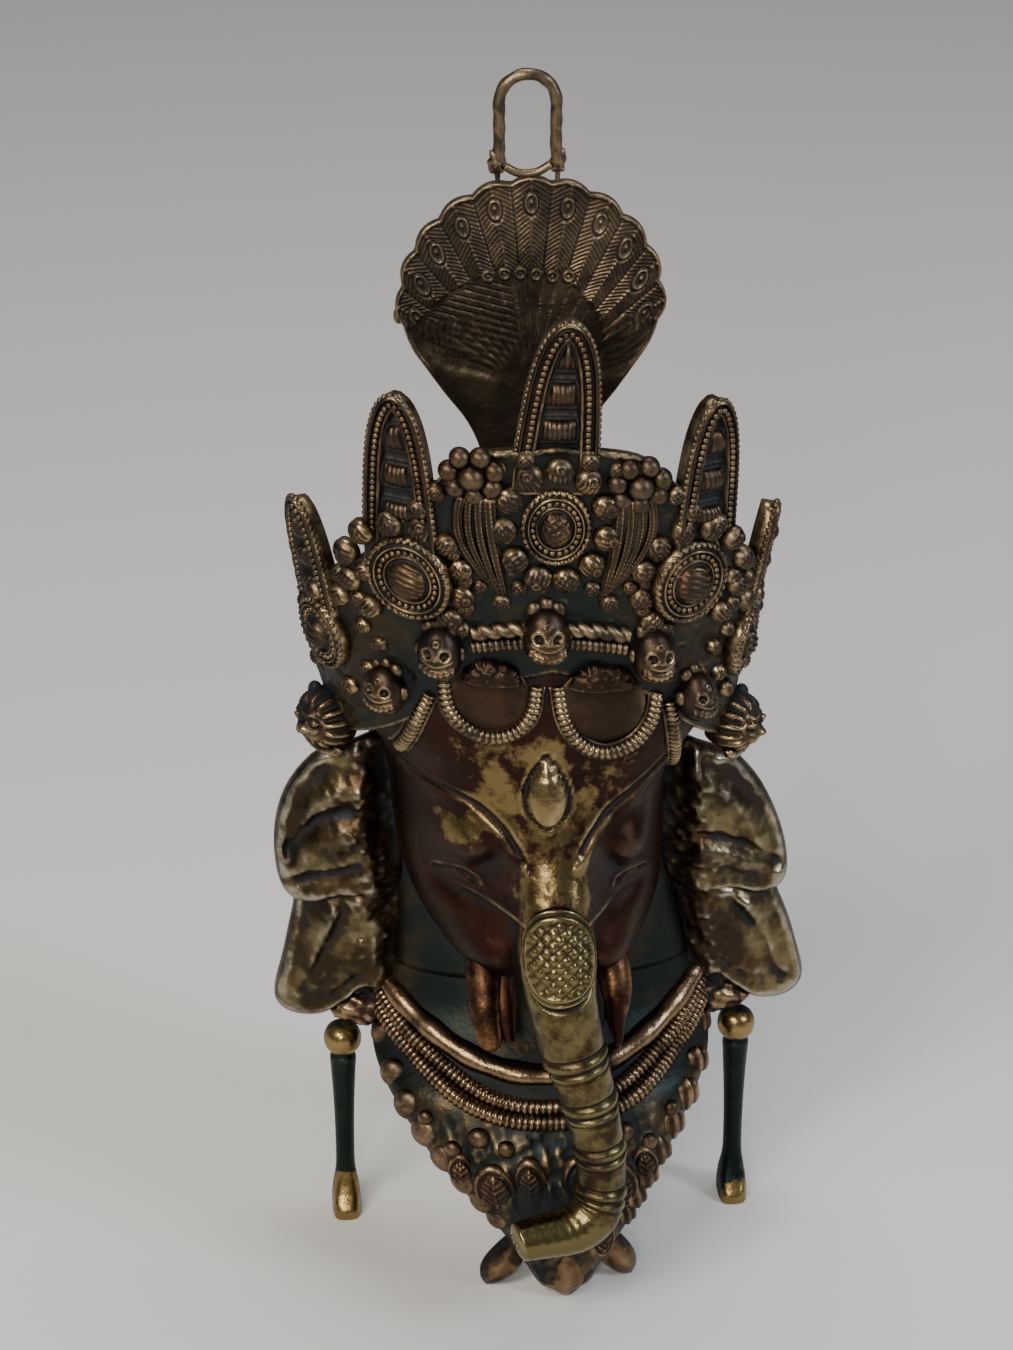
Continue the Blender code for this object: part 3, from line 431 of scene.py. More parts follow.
class Shape:
    """Closed meshes gathered as points in millimetres and faces, each piece with its own gilding."""

    def __init__(self):
        self.points, self.faces, self.gilt, self.count = [], [], [], 0

    def add(self, points, faces, gilt=0.3):
        points = np.asarray(points, float).reshape(-1, 3)
        self.points.append(points)
        self.gilt.append(np.broadcast_to(np.asarray(gilt, float).reshape(-1), (len(points),)).copy())
        self.faces += [[i + self.count for i in face] for face in faces]
        self.count += len(points)

    def slab(self, front, back, step, gilt=0.3):
        """A closed piece from a fine front grid and a back grid that has every step-th row and column."""
        n, m = front.shape[:2]
        p, q = back.shape[:2]
        start = n * m
        faces = grid_faces(n, m) + [face[::-1] for face in grid_faces(p, q, start)]
        fine = np.arange(n * m).reshape(n, m)
        coarse = start + np.arange(p * q).reshape(p, q)
        borders = (
            (fine[0], coarse[0], True),
            (fine[-1], coarse[-1], False),
            (fine[:, 0], coarse[:, 0], False),
            (fine[:, -1], coarse[:, -1], True),
        )
        half = step // 2
        for thin, thick, turned in borders:
            for k in range(len(thick) - 1):
                run = thin[k * step : (k + 1) * step + 1]
                made = [[run[i], run[i + 1], thick[k]] for i in range(half)]
                made += [[run[half], thick[k + 1], thick[k]]]
                made += [[run[i], run[i + 1], thick[k + 1]] for i in range(half, step)]
                faces += [[int(v) for v in (face[::-1] if turned else face)] for face in made]
        tone = np.broadcast_to(np.asarray(gilt, float), (n, m)).reshape(-1)
        self.add(
            np.concatenate([front.reshape(-1, 3), back.reshape(-1, 3)]),
            faces,
            np.concatenate([tone, np.full(p * q, 0.05)]),
        )

    def ring_plate(self, front, back, step, gilt):
        """A closed plate from rings around a middle: the back has every step-th ring and place of the front."""
        n, m = front.shape[:2]
        p, q = back.shape[:2]
        middles = [front[0].mean(axis=0)[None], back[0].mean(axis=0)[None]]
        points = [front.reshape(-1, 3), back.reshape(-1, 3), *middles]
        start = n * m
        faces = grid_faces(n, m, closed=True) + [face[::-1] for face in grid_faces(p, q, start, closed=True)]
        pole, low_pole = start + p * q, start + p * q + 1
        faces += [[pole, (i + 1) % m, i] for i in range(m)]
        faces += [[low_pole, start + i, start + (i + 1) % q] for i in range(q)]
        thin, thick = (n - 1) * m, start + (p - 1) * q
        half = step // 2
        for k in range(q):
            run = [thin + (k * step + i) % m for i in range(step + 1)]
            a, b = thick + k, thick + (k + 1) % q
            faces += [[run[i], run[i + 1], a] for i in range(half)] + [[run[half], b, a]]
            faces += [[run[i], run[i + 1], b] for i in range(half, step)]
        tone = np.broadcast_to(gilt, (n, m)).reshape(-1)
        self.add(np.concatenate(points), faces, np.concatenate([tone, np.full(p * q, 0.1), [tone[0], 0.1]]))

    def tube(self, line, sides, relief=None, gilt=0.3, flat=1.0, across=None):
        """A closed tube through rows of (x, y, z, radius). relief adds height from (length along, angle)."""
        line = np.array(line, float)
        centres = line[:, :3]
        along = np.gradient(centres, axis=0)
        along /= np.linalg.norm(along, axis=1)[:, None]
        start = np.array(across if across is not None else (1.0, 0.0, 0.0), float)
        first, second = [], []
        for direction in along:
            start = start - direction * (start @ direction)
            start = start / np.linalg.norm(start)
            first.append(start)
            second.append(np.cross(direction, start))
        first, second = np.array(first)[:, None], np.array(second)[:, None]
        run = np.concatenate([[0.0], np.cumsum(np.linalg.norm(np.diff(centres, axis=0), axis=1))])
        angle = 2 * math.pi * np.arange(sides) / sides
        radius = np.broadcast_to(line[:, 3:4], (len(line), sides)).copy()
        if relief is not None:
            radius += relief(run[:, None], angle[None, :])
        ring = centres[:, None] + radius[..., None] * (
            first * np.cos(angle)[None, :, None] + second * np.sin(angle)[None, :, None] * flat
        )
        n = len(line)
        faces = grid_faces(n, sides, closed=True)
        faces += [[n * sides, (i + 1) % sides, i] for i in range(sides)]
        last = (n - 1) * sides
        faces += [[n * sides + 1, last + i, last + (i + 1) % sides] for i in range(sides)]
        points = np.concatenate([ring.reshape(-1, 3), centres[:1], centres[-1:]])
        if np.ndim(gilt):
            gilt = np.append(np.repeat(gilt, sides), gilt[[0, -1]])
        self.add(points, faces, gilt)
        return ring

    def dome(self, place, wide, high, rings, sides, height, sink=2.5, gilt=0.3):
        """A closed boss on a frame: height(share, angle, a, b) gives how far each place stands out."""
        share = np.linspace(0.0, 1.0, rings + 1)[1:, None]
        angle = 2 * math.pi * np.arange(sides)[None, :] / sides
        a, b = wide * share * np.sin(angle), high * share * np.cos(angle)
        c = np.broadcast_to(height(share, angle, a, b), a.shape)
        top = float(np.mean(height(share[:1] * 0, angle[:, :1], a[:1, :1] * 0, b[:1, :1] * 0)))
        a = np.concatenate([a, a[-1:]])
        b = np.concatenate([b, b[-1:]])
        c = np.concatenate([c, np.full((1, sides), -sink)])
        points = [*on_frame(place, a, b, c).reshape(-1, 3)]
        points += [on_frame(place, 0.0, 0.0, top), on_frame(place, 0.0, 0.0, -sink)]
        faces = grid_faces(rings + 1, sides, closed=True)
        pole = (rings + 1) * sides
        faces += [[pole, (i + 1) % sides, i] for i in range(sides)]
        faces += [[pole + 1, rings * sides + i, rings * sides + (i + 1) % sides] for i in range(sides)]
        self.add(np.array(points), faces, gilt)

    def ball(self, place, sizes, rows=8, sides=12, relief=None, gilt=0.3):
        """A closed ellipsoid on a frame. relief(a, b, c) moves its skin, with a, b, c on the unit ball."""
        tilt = math.pi * (np.arange(rows + 1)[:, None] / rows - 0.5)
        tilt = np.clip(tilt, -1.5, 1.5)
        angle = 2 * math.pi * np.arange(sides)[None, :] / sides
        a = np.cos(tilt) * np.sin(angle)
        b = np.sin(tilt) * np.ones_like(angle)
        c = np.cos(tilt) * np.cos(angle)
        reach = 1.0 if relief is None else 1.0 + relief(a, b, c)
        ring = on_frame(place, a * sizes[0] * reach, b * sizes[1] * reach, c * sizes[2] * reach)
        faces = grid_faces(rows + 1, sides, closed=True)
        faces += [list(range(sides))[::-1], list(range(rows * sides, (rows + 1) * sides))]
        self.add(ring.reshape(-1, 3), faces, gilt)


def place_frame(here, side, up, out):
    """A frame: a place, and its sideways, up and out directions."""
    return tuple(np.array(v, float) for v in (here, side, up, out))


def on_frame(place, a, b, c):
    """The points a sideways, b up and c out from a frame's place."""
    here, side, up, out = place
    a, b, c = (np.asarray(v, float)[..., None] for v in (a, b, c))
    return here + a * side + b * up + c * out


def facing(here, turn):
    """A frame that looks level, turned from -Y towards +X."""
    side, out = (math.cos(turn), math.sin(turn), 0), (math.sin(turn), -math.cos(turn), 0)
    return place_frame(here, side, (0, 0, 1), out)


def lean(points):
    """Gives the casting's points the lean of the sculptor's hand."""
    x, y, z = points.T
    rise = ease(z, *LEAN_LEVELS)
    aside = LEAN_ASIDE * rise * ease(y, *LEAN_DEPTHS) + PENDANT_ASIDE * ease(z, *PENDANT_LEVELS)
    return np.stack([x + aside, y, z + LEAN_UP * x * rise], 1)


def make(name, shape, material, leaning=True):
    """An object from a shape, moved to its place, with its faces out and its gilding kept."""
    points = np.concatenate(shape.points)
    if leaning:
        points = lean(points)
    points = (points + (0.0, BACK, 0.0)) * MM
    mesh = bpy.data.meshes.new(name)
    mesh.from_pydata(points.tolist(), [], shape.faces)
    work = bmesh.new()
    work.from_mesh(mesh)
    bmesh.ops.recalc_face_normals(work, faces=work.faces)
    work.to_mesh(mesh)
    work.free()
    mesh.shade_smooth()
    gilt = mesh.attributes.new("gilt", "FLOAT", "POINT")
    gilt.data.foreach_set("value", np.concatenate(shape.gilt).astype(np.float32))
    mesh.materials.append(material)
    obj = bpy.data.objects.new(name, mesh)
    bpy.context.scene.collection.objects.link(obj)
    return obj


# Surfaces of the casting


def head_point(angle, z, inset=0.0):
    """A point of the head's skin before its carving. Angle 0 is the front."""
    wide, deep = read(HEAD, z, 1) - inset, read(HEAD, z, 2) - inset
    s, c = np.sin(angle), np.clip(np.cos(angle), 0.0, None)
    x = np.sign(s) * np.abs(s) ** (2 / HEAD_ROUNDNESS) * np.maximum(wide, 2.0)
    return x, -(c ** (2 / HEAD_ROUNDNESS)) * np.maximum(deep, 2.0)


def head_depth(x, z):
    """How far the plain head's skin stands in front of the open back."""
    wide, deep = read(HEAD, z, 1), read(HEAD, z, 2)
    return deep * (1 - np.minimum(np.abs(x) / wide, 1.0) ** HEAD_ROUNDNESS) ** (1 / HEAD_ROUNDNESS)


def neck_depth(x, z):
    """How far the neck's and the bib's skin stands in front of the open back."""
    wide, deep, side = (read(NECK, z, k) for k in (1, 2, 3))
    side = np.maximum(side, BACK_STEP)
    round_part = (1 - np.minimum(np.abs(x) / wide, 1.0) ** NECK_ROUNDNESS) ** (1 / NECK_ROUNDNESS)
    return side + (deep - side) * round_part


CROWN_LINES = {table: smooth_curve(table, 8) for table in (CROWN_FOOT_HEIGHT, CROWN_RIM_HEIGHT)}


def between(table, x):
    """A smooth line through the table's rows, read at x."""
    line = CROWN_LINES[table]
    return np.interp(x, line[:, 0], line[:, 1])


def crown_point(plan_x, up_share):
    """A point of the crown's outer skin, from its foot (0) to its rim (1)."""
    share = np.clip(plan_x / CROWN_RIM[0], -1.0, 1.0)
    foot, rim = between(CROWN_FOOT_HEIGHT, np.abs(plan_x)), between(CROWN_RIM_HEIGHT, np.abs(plan_x))
    wide = CROWN_FOOT[0] + (CROWN_RIM[0] - CROWN_FOOT[0]) * up_share
    deep = CROWN_FOOT[1] + (CROWN_RIM[1] - CROWN_FOOT[1]) * up_share
    y = -deep * (1 - np.abs(share) ** CROWN_ROUNDNESS) ** (1 / CROWN_ROUNDNESS)
    return np.stack([share * wide, y, foot + (rim - foot) * up_share], -1)


def crown_place(plan_x, height):
    """A frame on the crown's outer face: place, sideways, up and out."""
    foot, rim = between(CROWN_FOOT_HEIGHT, abs(plan_x)), between(CROWN_RIM_HEIGHT, abs(plan_x))
    up_share = (height - foot) / (rim - foot)
    here = crown_point(plan_x, up_share)
    side = crown_point(min(plan_x + 0.8, 84.0), up_share) - crown_point(max(plan_x - 0.8, -84.0), up_share)
    side[2] = 0.0
    side /= np.linalg.norm(side)
    up = crown_point(plan_x, up_share + 0.02) - here
    up /= np.linalg.norm(up)
    out = np.cross(side, up)
    out /= np.linalg.norm(out)
    return here, side, up, out


def trunk_ridge(x, z):
    """How far forward the trunk's root stands, with a fillet where it leaves the face."""
    order = np.argsort(TRUNK[:, 2])
    table = TRUNK[order][:, [2, 0, 1, 3]]
    middle, y, radius = (read(table, z, k) for k in (1, 2, 3))
    radius = np.maximum(radius, 12.6) + 5.5 * ease(z, 184.0, 204.0)
    ahead = np.interp(z, *TRUNK_ROOT)
    q = np.abs(x - middle) / radius
    flat_top = np.clip(1 - q**2.5, 0.0, 1.0) ** 0.5
    shape = np.where(q < 0.9, flat_top, 0.48 - 2.2 * (q - 0.9))
    fade = ease(z, 156.0, 168.0)
    high = np.where(fade > 0, ahead - 11.5 * (1 - shape), 0.0)
    return np.where(fade > 0, high - 45.0 * (1 - fade), 0.0)


def soft_max(a, b, reach):
    """The larger of two heights, with a fillet of the given reach where they meet."""
    gap = np.clip(1 - np.abs(a - b) / reach, 0.0, None)
    return np.maximum(a, b) + reach * gap * gap / 4


def face_forms(x, z):
    """How far the face's skin stands forward of the plain head, at the eyelids and the eye sockets."""
    rise = np.zeros(np.shape(x))
    for mid_x, mid_z, wide, high, out in (EYELID, (*SOCKET[:4], -SOCKET[4])):
        rise += out * np.exp(-1.6 * (((np.abs(x) - mid_x) / wide) ** 2 + ((z - mid_z) / high) ** 2))
    rise += 2.2 * np.exp(-(((np.abs(x) - 32) / 10) ** 2 + ((z - 196) / 8) ** 2))
    rise -= 4.2 * np.exp(-(((np.abs(x) - 21) / 6) ** 2 + ((z - 179) / 9) ** 2))
    rise -= 2.4 * np.exp(-(((np.abs(x) - 22) / 8) ** 2 + ((z - 160) / 14) ** 2))
    rise += 9.0 * np.exp(-1.3 * (((np.abs(x) - 23) / 14) ** 2 + ((z - 139) / 14) ** 2)) * ease(z, 124.0, 130.0)
    return rise


def face_lines(x, z):
    """The brow lines with their ridges, the eye slits and the third eye."""
    rise = np.zeros(np.shape(x))
    for brow in BROWS:
        line = smooth_curve(brow, 6)
        reach, side = near_line(x, z, line)
        toward = reach * side * (1 if brow[0][0] < 0 else -1)
        rise += 1.5 * np.exp(-(((toward + 3.6) / 3.4) ** 2)) - 1.6 * np.exp(-((reach / 1.0) ** 2))
        rise += 0.5 * np.exp(-(((toward - 2.4) / 1.8) ** 2)) * (reach < 8)
    for slit in SLITS:
        line = smooth_curve(slit, 6)
        reach, side = near_line(x, z, line)
        above = reach * side * (1 if slit[0][0] < slit[-1][0] else -1)
        lids = 1.5 * np.exp(-(((above - 2.4) / 1.7) ** 2)) * (reach < 8)
        rise += lids + 0.6 * np.exp(-(((above + 2.2) / 1.4) ** 2)) * (reach < 6)
        rise -= 2.1 * np.exp(-((reach / 1.1) ** 2))
    eye_x, eye_z, wide, high = THIRD_EYE
    t = np.clip((z - eye_z) / high, -1.0, 1.0)
    below = np.sqrt(np.clip(1 - ((t + 0.2) / 0.8) ** 2, 0, 1))
    half = wide * np.where(t < -0.2, below, 1 - np.abs((t + 0.2) / 1.2) ** 1.8)
    inside = np.abs(x - eye_x) / np.maximum(half, 0.1)
    height = 4.8 * np.sqrt(np.clip(1 - inside**2, 0.0, 1.0)) * (half / wide) ** 0.6
    edge = np.hypot(np.maximum(np.abs(x - eye_x) - half, 0.0), np.maximum(np.abs(z - eye_z) - high, 0.0))
    rise += np.where(inside < 1, height, 0.0) - 1.2 * np.exp(-((edge / 1.0) ** 2)) * (inside >= 1)
    rise += 0.5 * np.exp(-(((edge - 2.2) / 0.9) ** 2)) * (inside >= 1)
    return rise


def face_shape(carving):
    """The head with its face, as a shell open at the back, and the carving pressed into its skin."""
    shape = Shape()
    step, rows, columns = 4, 193, 209
    z = np.linspace(HEAD_STATIONS[0][0], HEAD_STATIONS[-1][0], rows)[:, None]
    across = read(HEAD, z, 1) * 0.96
    hidden = (neck_depth(across, z) - 1.0) * ease(z, 160.0, 140.0)
    ends = np.arccos(np.clip(hidden / read(HEAD, z, 2), 0.0, 0.9) ** (HEAD_ROUNDNESS / 2))
    angle = ends * np.linspace(-1.0, 1.0, columns)[None, :]
    x, y = head_point(angle, z)
    facing_front = np.sqrt(np.clip(np.cos(angle), 0.0, 1.0))
    depth = -y + face_forms(x, z) * facing_front
    ridge = trunk_ridge(x, z)
    wanted = soft_max(depth, ridge, 15.0)
    depth = np.where((z > 122) & (z < 222), wanted, depth) + face_lines(x, z) * facing_front * carving
    depth = depth + 0.22 * wander(x, depth, z, 17.0) * facing_front + 0.1 * wander(x, depth, z, 7.0, 2.0)
    front = np.stack([x, -depth, z + 0 * x], -1)
    inner_z = z[::step] + np.linspace(HEAD_WALL, -HEAD_WALL, (rows - 1) // step + 1)[:, None]
    inner_angle = angle[::step, ::step]
    inner_x, inner_y = head_point(inner_angle, z[::step], HEAD_WALL)
    thin = (front[::step, ::step, 1] + 3.5) * (np.cos(inner_angle) > 0.2)
    inner_y = np.where(np.cos(inner_angle) > 0.2, np.maximum(inner_y, np.minimum(thin, 0.0)), inner_y)
    back = np.stack([inner_x, inner_y, inner_z + 0 * inner_x], -1)
    shape.slab(front, back, step, face_gilt_and_painted_light(x, z))
    top_x, top_y = head_point(np.radians(np.linspace(-90.0, 90.0, 33)), HEAD_STATIONS[-1][0], 0.3)
    count = len(top_x)
    lid = [np.stack([top_x, top_y, np.full(count, HEAD_STATIONS[-1][0] - fall)], 1) for fall in (0.1, HEAD_WALL)]
    sides = [[k, (k + 1) % count, count + (k + 1) % count, count + k] for k in range(count)]
    shape.add(np.concatenate(lid), [*sides, list(range(count)), list(range(count, 2 * count))], 0.0)
    low, high = WEB_HEIGHTS
    web = []
    for height in np.linspace(low, high, 8):
        half = float(read(HEAD, height, 1)) - HEAD_WALL / 2
        corners = ((-half, -WEB_WALL), (half, -WEB_WALL), (half, -BACK_STEP), (-half, -BACK_STEP))
        web.append([(a, b, height) for a, b in corners])
    ends = [[3, 2, 1, 0], [28, 29, 30, 31]]
    shape.add(np.array(web), grid_faces(8, 4, closed=True) + ends, 0.0)
    return shape


def face_gilt_and_painted_light(x, z):
    """Where hands have rubbed the face to gold, on the forehead, the ridge, the eyelids and the third eye, where the
    gold also stands in as painted highlight; the cheeks stay dark, partly as painted shade.
    """
    spread = 15 + 27 * ease(z, 192.0, 222.0)
    ridge = np.exp(-((np.abs(x) / spread) ** 4)) * ease(z, 150.0, 176.0)
    # The eyelids' gold, stronger on the viewer's left, is partly painted highlight.
    lids = np.exp(-(((x + 32) / 11) ** 2 + ((z - 197) / 8.5) ** 2))
    lids = lids + 0.55 * np.exp(-(((x - 33) / 10) ** 2 + ((z - 198) / 9) ** 2))
    eye_x, eye_z, wide, high = THIRD_EYE
    eye = np.exp(-(((x - eye_x) / wide) ** 4 + ((z - eye_z) / high) ** 4))
    return np.clip(0.06 + 0.5 * ridge + 0.5 * lids + 0.4 * eye - 0.4 * ease(z, 233.0, 242.0), 0.0, 1.0)


def trunk_shape():
    """The trunk with its double-grooved bands, hatched plaque and curled tip."""
    shape = Shape()
    line = even(TRUNK, 372)
    run = np.concatenate([[0.0], np.cumsum(np.linalg.norm(np.diff(line[:, :3], axis=0), axis=1))])
    line[:, 3] -= 5.5 * ease(line[:, 2], 170.0, 186.0) * (line[:, 1] > -80)
    from_end = run[-1] - run
    line[:, 3] *= np.where(from_end < 2.4, np.sqrt(np.clip(1 - ((2.4 - from_end) / 2.45) ** 2, 0.01, 1)), 1.0)
    heights = line[:, 2]
    elsewhere = 100 * (line[:, 1] > -75) + 100 * (line[:, 2] < 50)
    bands = [run[np.argmin(np.abs(heights - z) + elsewhere)] for z in TRUNK_BANDS]
    sides = 132
    _, plaque_z, plaque_wide, plaque_high = PLAQUE

    def relief(along, angle):
        rise = 0.05 * np.sin(along * 1.6 + 0.8 * np.cos(angle)) * ease(along, 150.0, 190.0)
        for at in bands:
            rise = rise + 0.8 * bump(along, at, 2.2) + 0.35 * bump(along, at + 4.4, 1.6)
            for gap in (-2.7, 2.6, 6.2):
                rise = rise - (0.9 if gap < 4 else 0.5) * bump(along, at + gap, 1.0)
        place = np.interp(along, run, heights) + 0 * angle
        radius = np.interp(along, run, line[:, 3])
        ahead = np.sin(angle)
        turn = np.arctan2(np.cos(angle), ahead)
        a = turn * radius * 0.97
        b = place - plaque_z
        reach = (np.abs(a / plaque_wide) ** 2.3 + np.abs(b / plaque_high) ** 2.3) ** (1 / 2.3)
        front = (ahead > -0.1) * ease(along, 8.0, 12.0) * (along < 110)
        oval = 1.9 * (1 - ease(reach, 0.9, 1.0)) - 1.1 * np.exp(-(((reach - 1.045) / 0.035) ** 2))
        oval -= 0.9 * np.exp(-(((reach - 0.86) / 0.03) ** 2))
        oval += 0.5 * np.exp(-(((reach - 0.78) / 0.06) ** 2))
        hatch = 0.0
        for slope in (0.72, -0.86):
            across = (a * math.cos(slope) + b * math.sin(slope)) / 3.1
            hatch = hatch + np.exp(-(((across - np.round(across)) * 3.1 / 0.4) ** 2))
        oval -= 0.75 * np.minimum(hatch, 1.0) * (1 - ease(reach, 0.7, 0.76))
        return rise + oval * front + 0.14 * wander(a, b, place, 14.0, 1.0)

    gilt = 0.5 + 0.06 * np.sin(run / 9.0) + 0.1 * ease(from_end, 60.0, 30.0)
    shape.tube(line, sides, relief, gilt)
    tip, before = line[-1, :3], line[-6, :3]
    out = (tip - before) / np.linalg.norm(tip - before)
    side = np.cross((0.0, 0.0, 1.0), out)
    side /= np.linalg.norm(side)
    end = (tip - out * 0.4, side, np.cross(out, side), out)
    for a, b in ((-1.6, 0.9), (1.7, -0.4)):
        nostril = (on_frame(end, a, b, 0.0), *end[1:])
        shape.dome(nostril, 1.5, 1.5, 5, 12, lambda s, t, a, b: 0.7 * bump(s, 0.72, 0.4), 0.6, 0.3)
    return shape


def tusk_shape():
    """The two tusks, and the folds of the mouth inside them."""
    shape = Shape()
    for hand in (-1, 1):
        tusk = smooth_curve([(hand * x, y, z, r) for x, y, z, r in TUSK], 14)
        if hand > 0:
            tusk[:, 3] *= 1 - 0.6 * ease(np.arange(len(tusk)), 18, 42)
            tusk[:, 0] += 2.2 * ease(np.arange(len(tusk)), 30, 42)
        end_share = np.linspace(0.0, 1.0, len(tusk))
        tusk[:, 3] *= np.sqrt(np.clip(1 - ((end_share - 0.86) / 0.145).clip(0) ** 2, 0.02, 1))
        shape.tube(even(tusk, 70), 36, lambda s, t: 0.3 * np.cos(2 * t) + 0.1 * np.sin(s * 0.3), 0.32)
        fold = smooth_curve([(hand * x, y, z, r) for x, y, z, r in MOUTH_FOLD], 14)
        shape.tube(even(fold, 60), 32, None, -0.5, 0.7)
    return shape


def ear_shape(carving):
    """The two lobes of each ear: swelling plates with a lip at the edge and folds across them."""
    shape = Shape()
    for hand in (-1, 1):
        for part, outline, lift in (("low", EAR_LOWER, -1.5), ("high", EAR_UPPER, 2.5)):
            ring = smooth_curve(outline, 10, closed=True)
            edge = even(np.column_stack([ring, np.zeros(len(ring))]), 168, True)
            edge = np.vstack([edge, edge[:1]])
            middle = edge[:-1, :2].mean(axis=0)
            share = np.linspace(0.04, 1.0, 29)[:, None]
            x = middle[0] + (edge[None, :, 0] - middle[0]) * share
            z = middle[1] + (edge[None, :, 1] - middle[1]) * share
            rise = 4.0 * (1 - share**2.2) + 0.0 * x
            rim = 0.8 * bump(share, 0.9, 0.12) * ease(x, 60.0, 74.0)
            hollow = -1.3 * bump(share, 0.72, 0.2) * ease(x, 60.0, 78.0)
            rise = rise + rim + hollow
            for fold in EAR_FOLDS[(part, hand)]:
                reach, _ = near_line(x, z, smooth_curve(fold, 5))
                rise = rise + 2.4 * carving * np.exp(-((reach / 4.6) ** 2))
            for groove in EAR_GROOVES[(part, hand)]:
                reach, _ = near_line(x, z, smooth_curve(groove, 5))
                rise = rise - 2.6 * carving * np.exp(-((reach / 2.6) ** 2))
            rise = rise + 0.55 * wander(x, z, hand * x, 15.0, 3.0 + hand) + 0.2 * wander(x, z, x, 6.0, hand)
            rough = 0.8 * grain(hand * x, 0.0, z, 2.6, 4) + 0.8 * grain(hand * x, 0.0, z, 6.0, 5)
            rise = rise + rough * (0.2 + 0.8 * ease(x, 78.0, 62.0))
            rise = rise * (1 - 0.8 * ease(share, 0.93, 1.0)) - 1.3 * ease(share, 0.94, 1.0)
            plane = -(EAR_PLANE_DEPTH + lift) + EAR_SWEEP * (x - outline[0][0]) + 8.0 * ease(x, 64.0, 50.0)
            front = np.stack([hand * x, plane - rise, z], -1)
            step = 4
            flat = np.stack([hand * x, plane + EAR_THICKNESS - 1.2, z], -1)[::step, ::step]
            gilt = 0.42 + 0.34 * wander(x, z, x, 26.0, 5.0 * hand)
            gilt = gilt - 0.7 * ease(share, 0.93, 0.98) - 0.35 * ease(x, 70.0, 58.0)
            front[:, -1] = front[:, 0]
            flat[:, -1] = flat[:, 0]
            shape.ring_plate(front[:, :-1], flat[:, :-1], step, gilt[:, :-1])
    return shape


# The crown


def crown_wall_shape():
    """The crown's wall, rough as cast, behind its bosses and leaves."""
    shape = Shape()
    step, rows, columns = 4, 97, 257
    angle = np.radians(np.linspace(-CROWN_END, CROWN_END, columns))
    plan = np.sign(np.sin(angle)) * np.abs(np.sin(angle)) ** (2 / CROWN_ROUNDNESS) * CROWN_RIM[0]
    share = np.linspace(0.0, 1.0, rows)[:, None]
    skin = crown_point(plan[None, :] + 0 * share, share + 0 * plan[None, :])
    out = np.stack([np.sin(angle), -np.cos(angle), 0 * angle], -1)[None]
    x, z = skin[..., 0], skin[..., 2]
    lumps = 0.5 * grain(x, skin[..., 1], z, 3.8, 1) + 0.25 * grain(x, skin[..., 1], z, 2.2, 2)
    lumps = lumps + 0.8 * grain(x, skin[..., 1], z, 8.0, 3)
    edge = bump(share, 1.0, 0.03) * (1 + 0.6 * np.sin(x * 1.7))
    front = skin + out * (lumps * ease(share, 0.0, 0.1) + 0.8 * edge)[..., None]
    inner = (skin - out * CROWN_WALL)[::step, ::step]
    shape.slab(front, inner, step, -0.1 + 0.1 * wander(x, x, z, 30.0))
    return shape


def medallion_height(kind, wide, high):
    """The turned profile of a medallion: a carved dome, a plain ring and two rings of ribs or beads."""
    around = math.pi * (wide + high)
    outer = max(12, round(around * 0.9 / 2.6))
    inner = max(12, round(around * (0.6 if kind == 0 else 0.66) / 2.2))

    def height(share, angle, a, b):
        share = share + 0 * angle
        dome_edge = 0.46 if kind < 2 else 0.42
        dome = 2.4 + 3.9 * np.sqrt(np.clip(1 - (share / dome_edge) ** 2, 0.0, 1.0))
        if kind == 0:
            lines = np.maximum(np.cos(2 * math.pi * (a + 0.6 * b) / 2.3), np.cos(2 * math.pi * (b - 0.6 * a) / 2.6))
        else:
            lines = np.cos(2 * math.pi * (b + 0.25 * a + 0.02 * a * a) / 2.3)
        dome = dome + 0.28 * lines * (share < dome_edge * 0.93)
        rings = 1.6 + 0 * share
        rings = rings + 1.5 * bump(share, 0.55, 0.075)
        rings = rings + 0.5 * bump(share, 0.66, 0.07) * (0.45 + 0.55 * np.abs(np.cos(angle * inner / 2)))
        rings = rings + 1.9 * bump(share, 0.785, 0.06)
        rings = rings + 1.8 * bump(share, 0.92, 0.09) * (0.4 + 0.6 * np.abs(np.cos(angle * outer / 2)))
        return np.where(share < dome_edge, dome, rings)

    return height


def boss_height(radius, turn, kind):
    """A carved boss: a dome with ribs from a ringed dot, or with two rows of stipple."""

    def height(share, angle, a, b):
        dome = radius * 0.95 * np.sqrt(np.clip(1 - (share * 0.97) ** 2, 0.0, 1.0)) + 0 * angle
        along = a * math.sin(turn) + b * math.cos(turn)
        across = a * math.cos(turn) - b * math.sin(turn)
        dot = np.hypot(across, along + radius * 0.42) / radius
        ribs = 0.3 * np.cos(2 * math.pi * across / (radius * 0.34)) * ease(along, -radius * 0.2, radius * 0.1)
        if kind % 3 == 2:
            ribs = 0.32 * np.cos(2 * math.pi * across / (radius * 0.5))
            ribs = ribs * np.cos(2 * math.pi * along / (radius * 0.5))
        ring = 0.42 * bump(dot, 0.26, 0.13) - 0.5 * bump(dot, 0.0, 0.13) - 0.3 * bump(dot, 0.44, 0.09)
        return dome + (ribs + ring * (kind % 3 != 2)) * (share < 0.93)

    return height


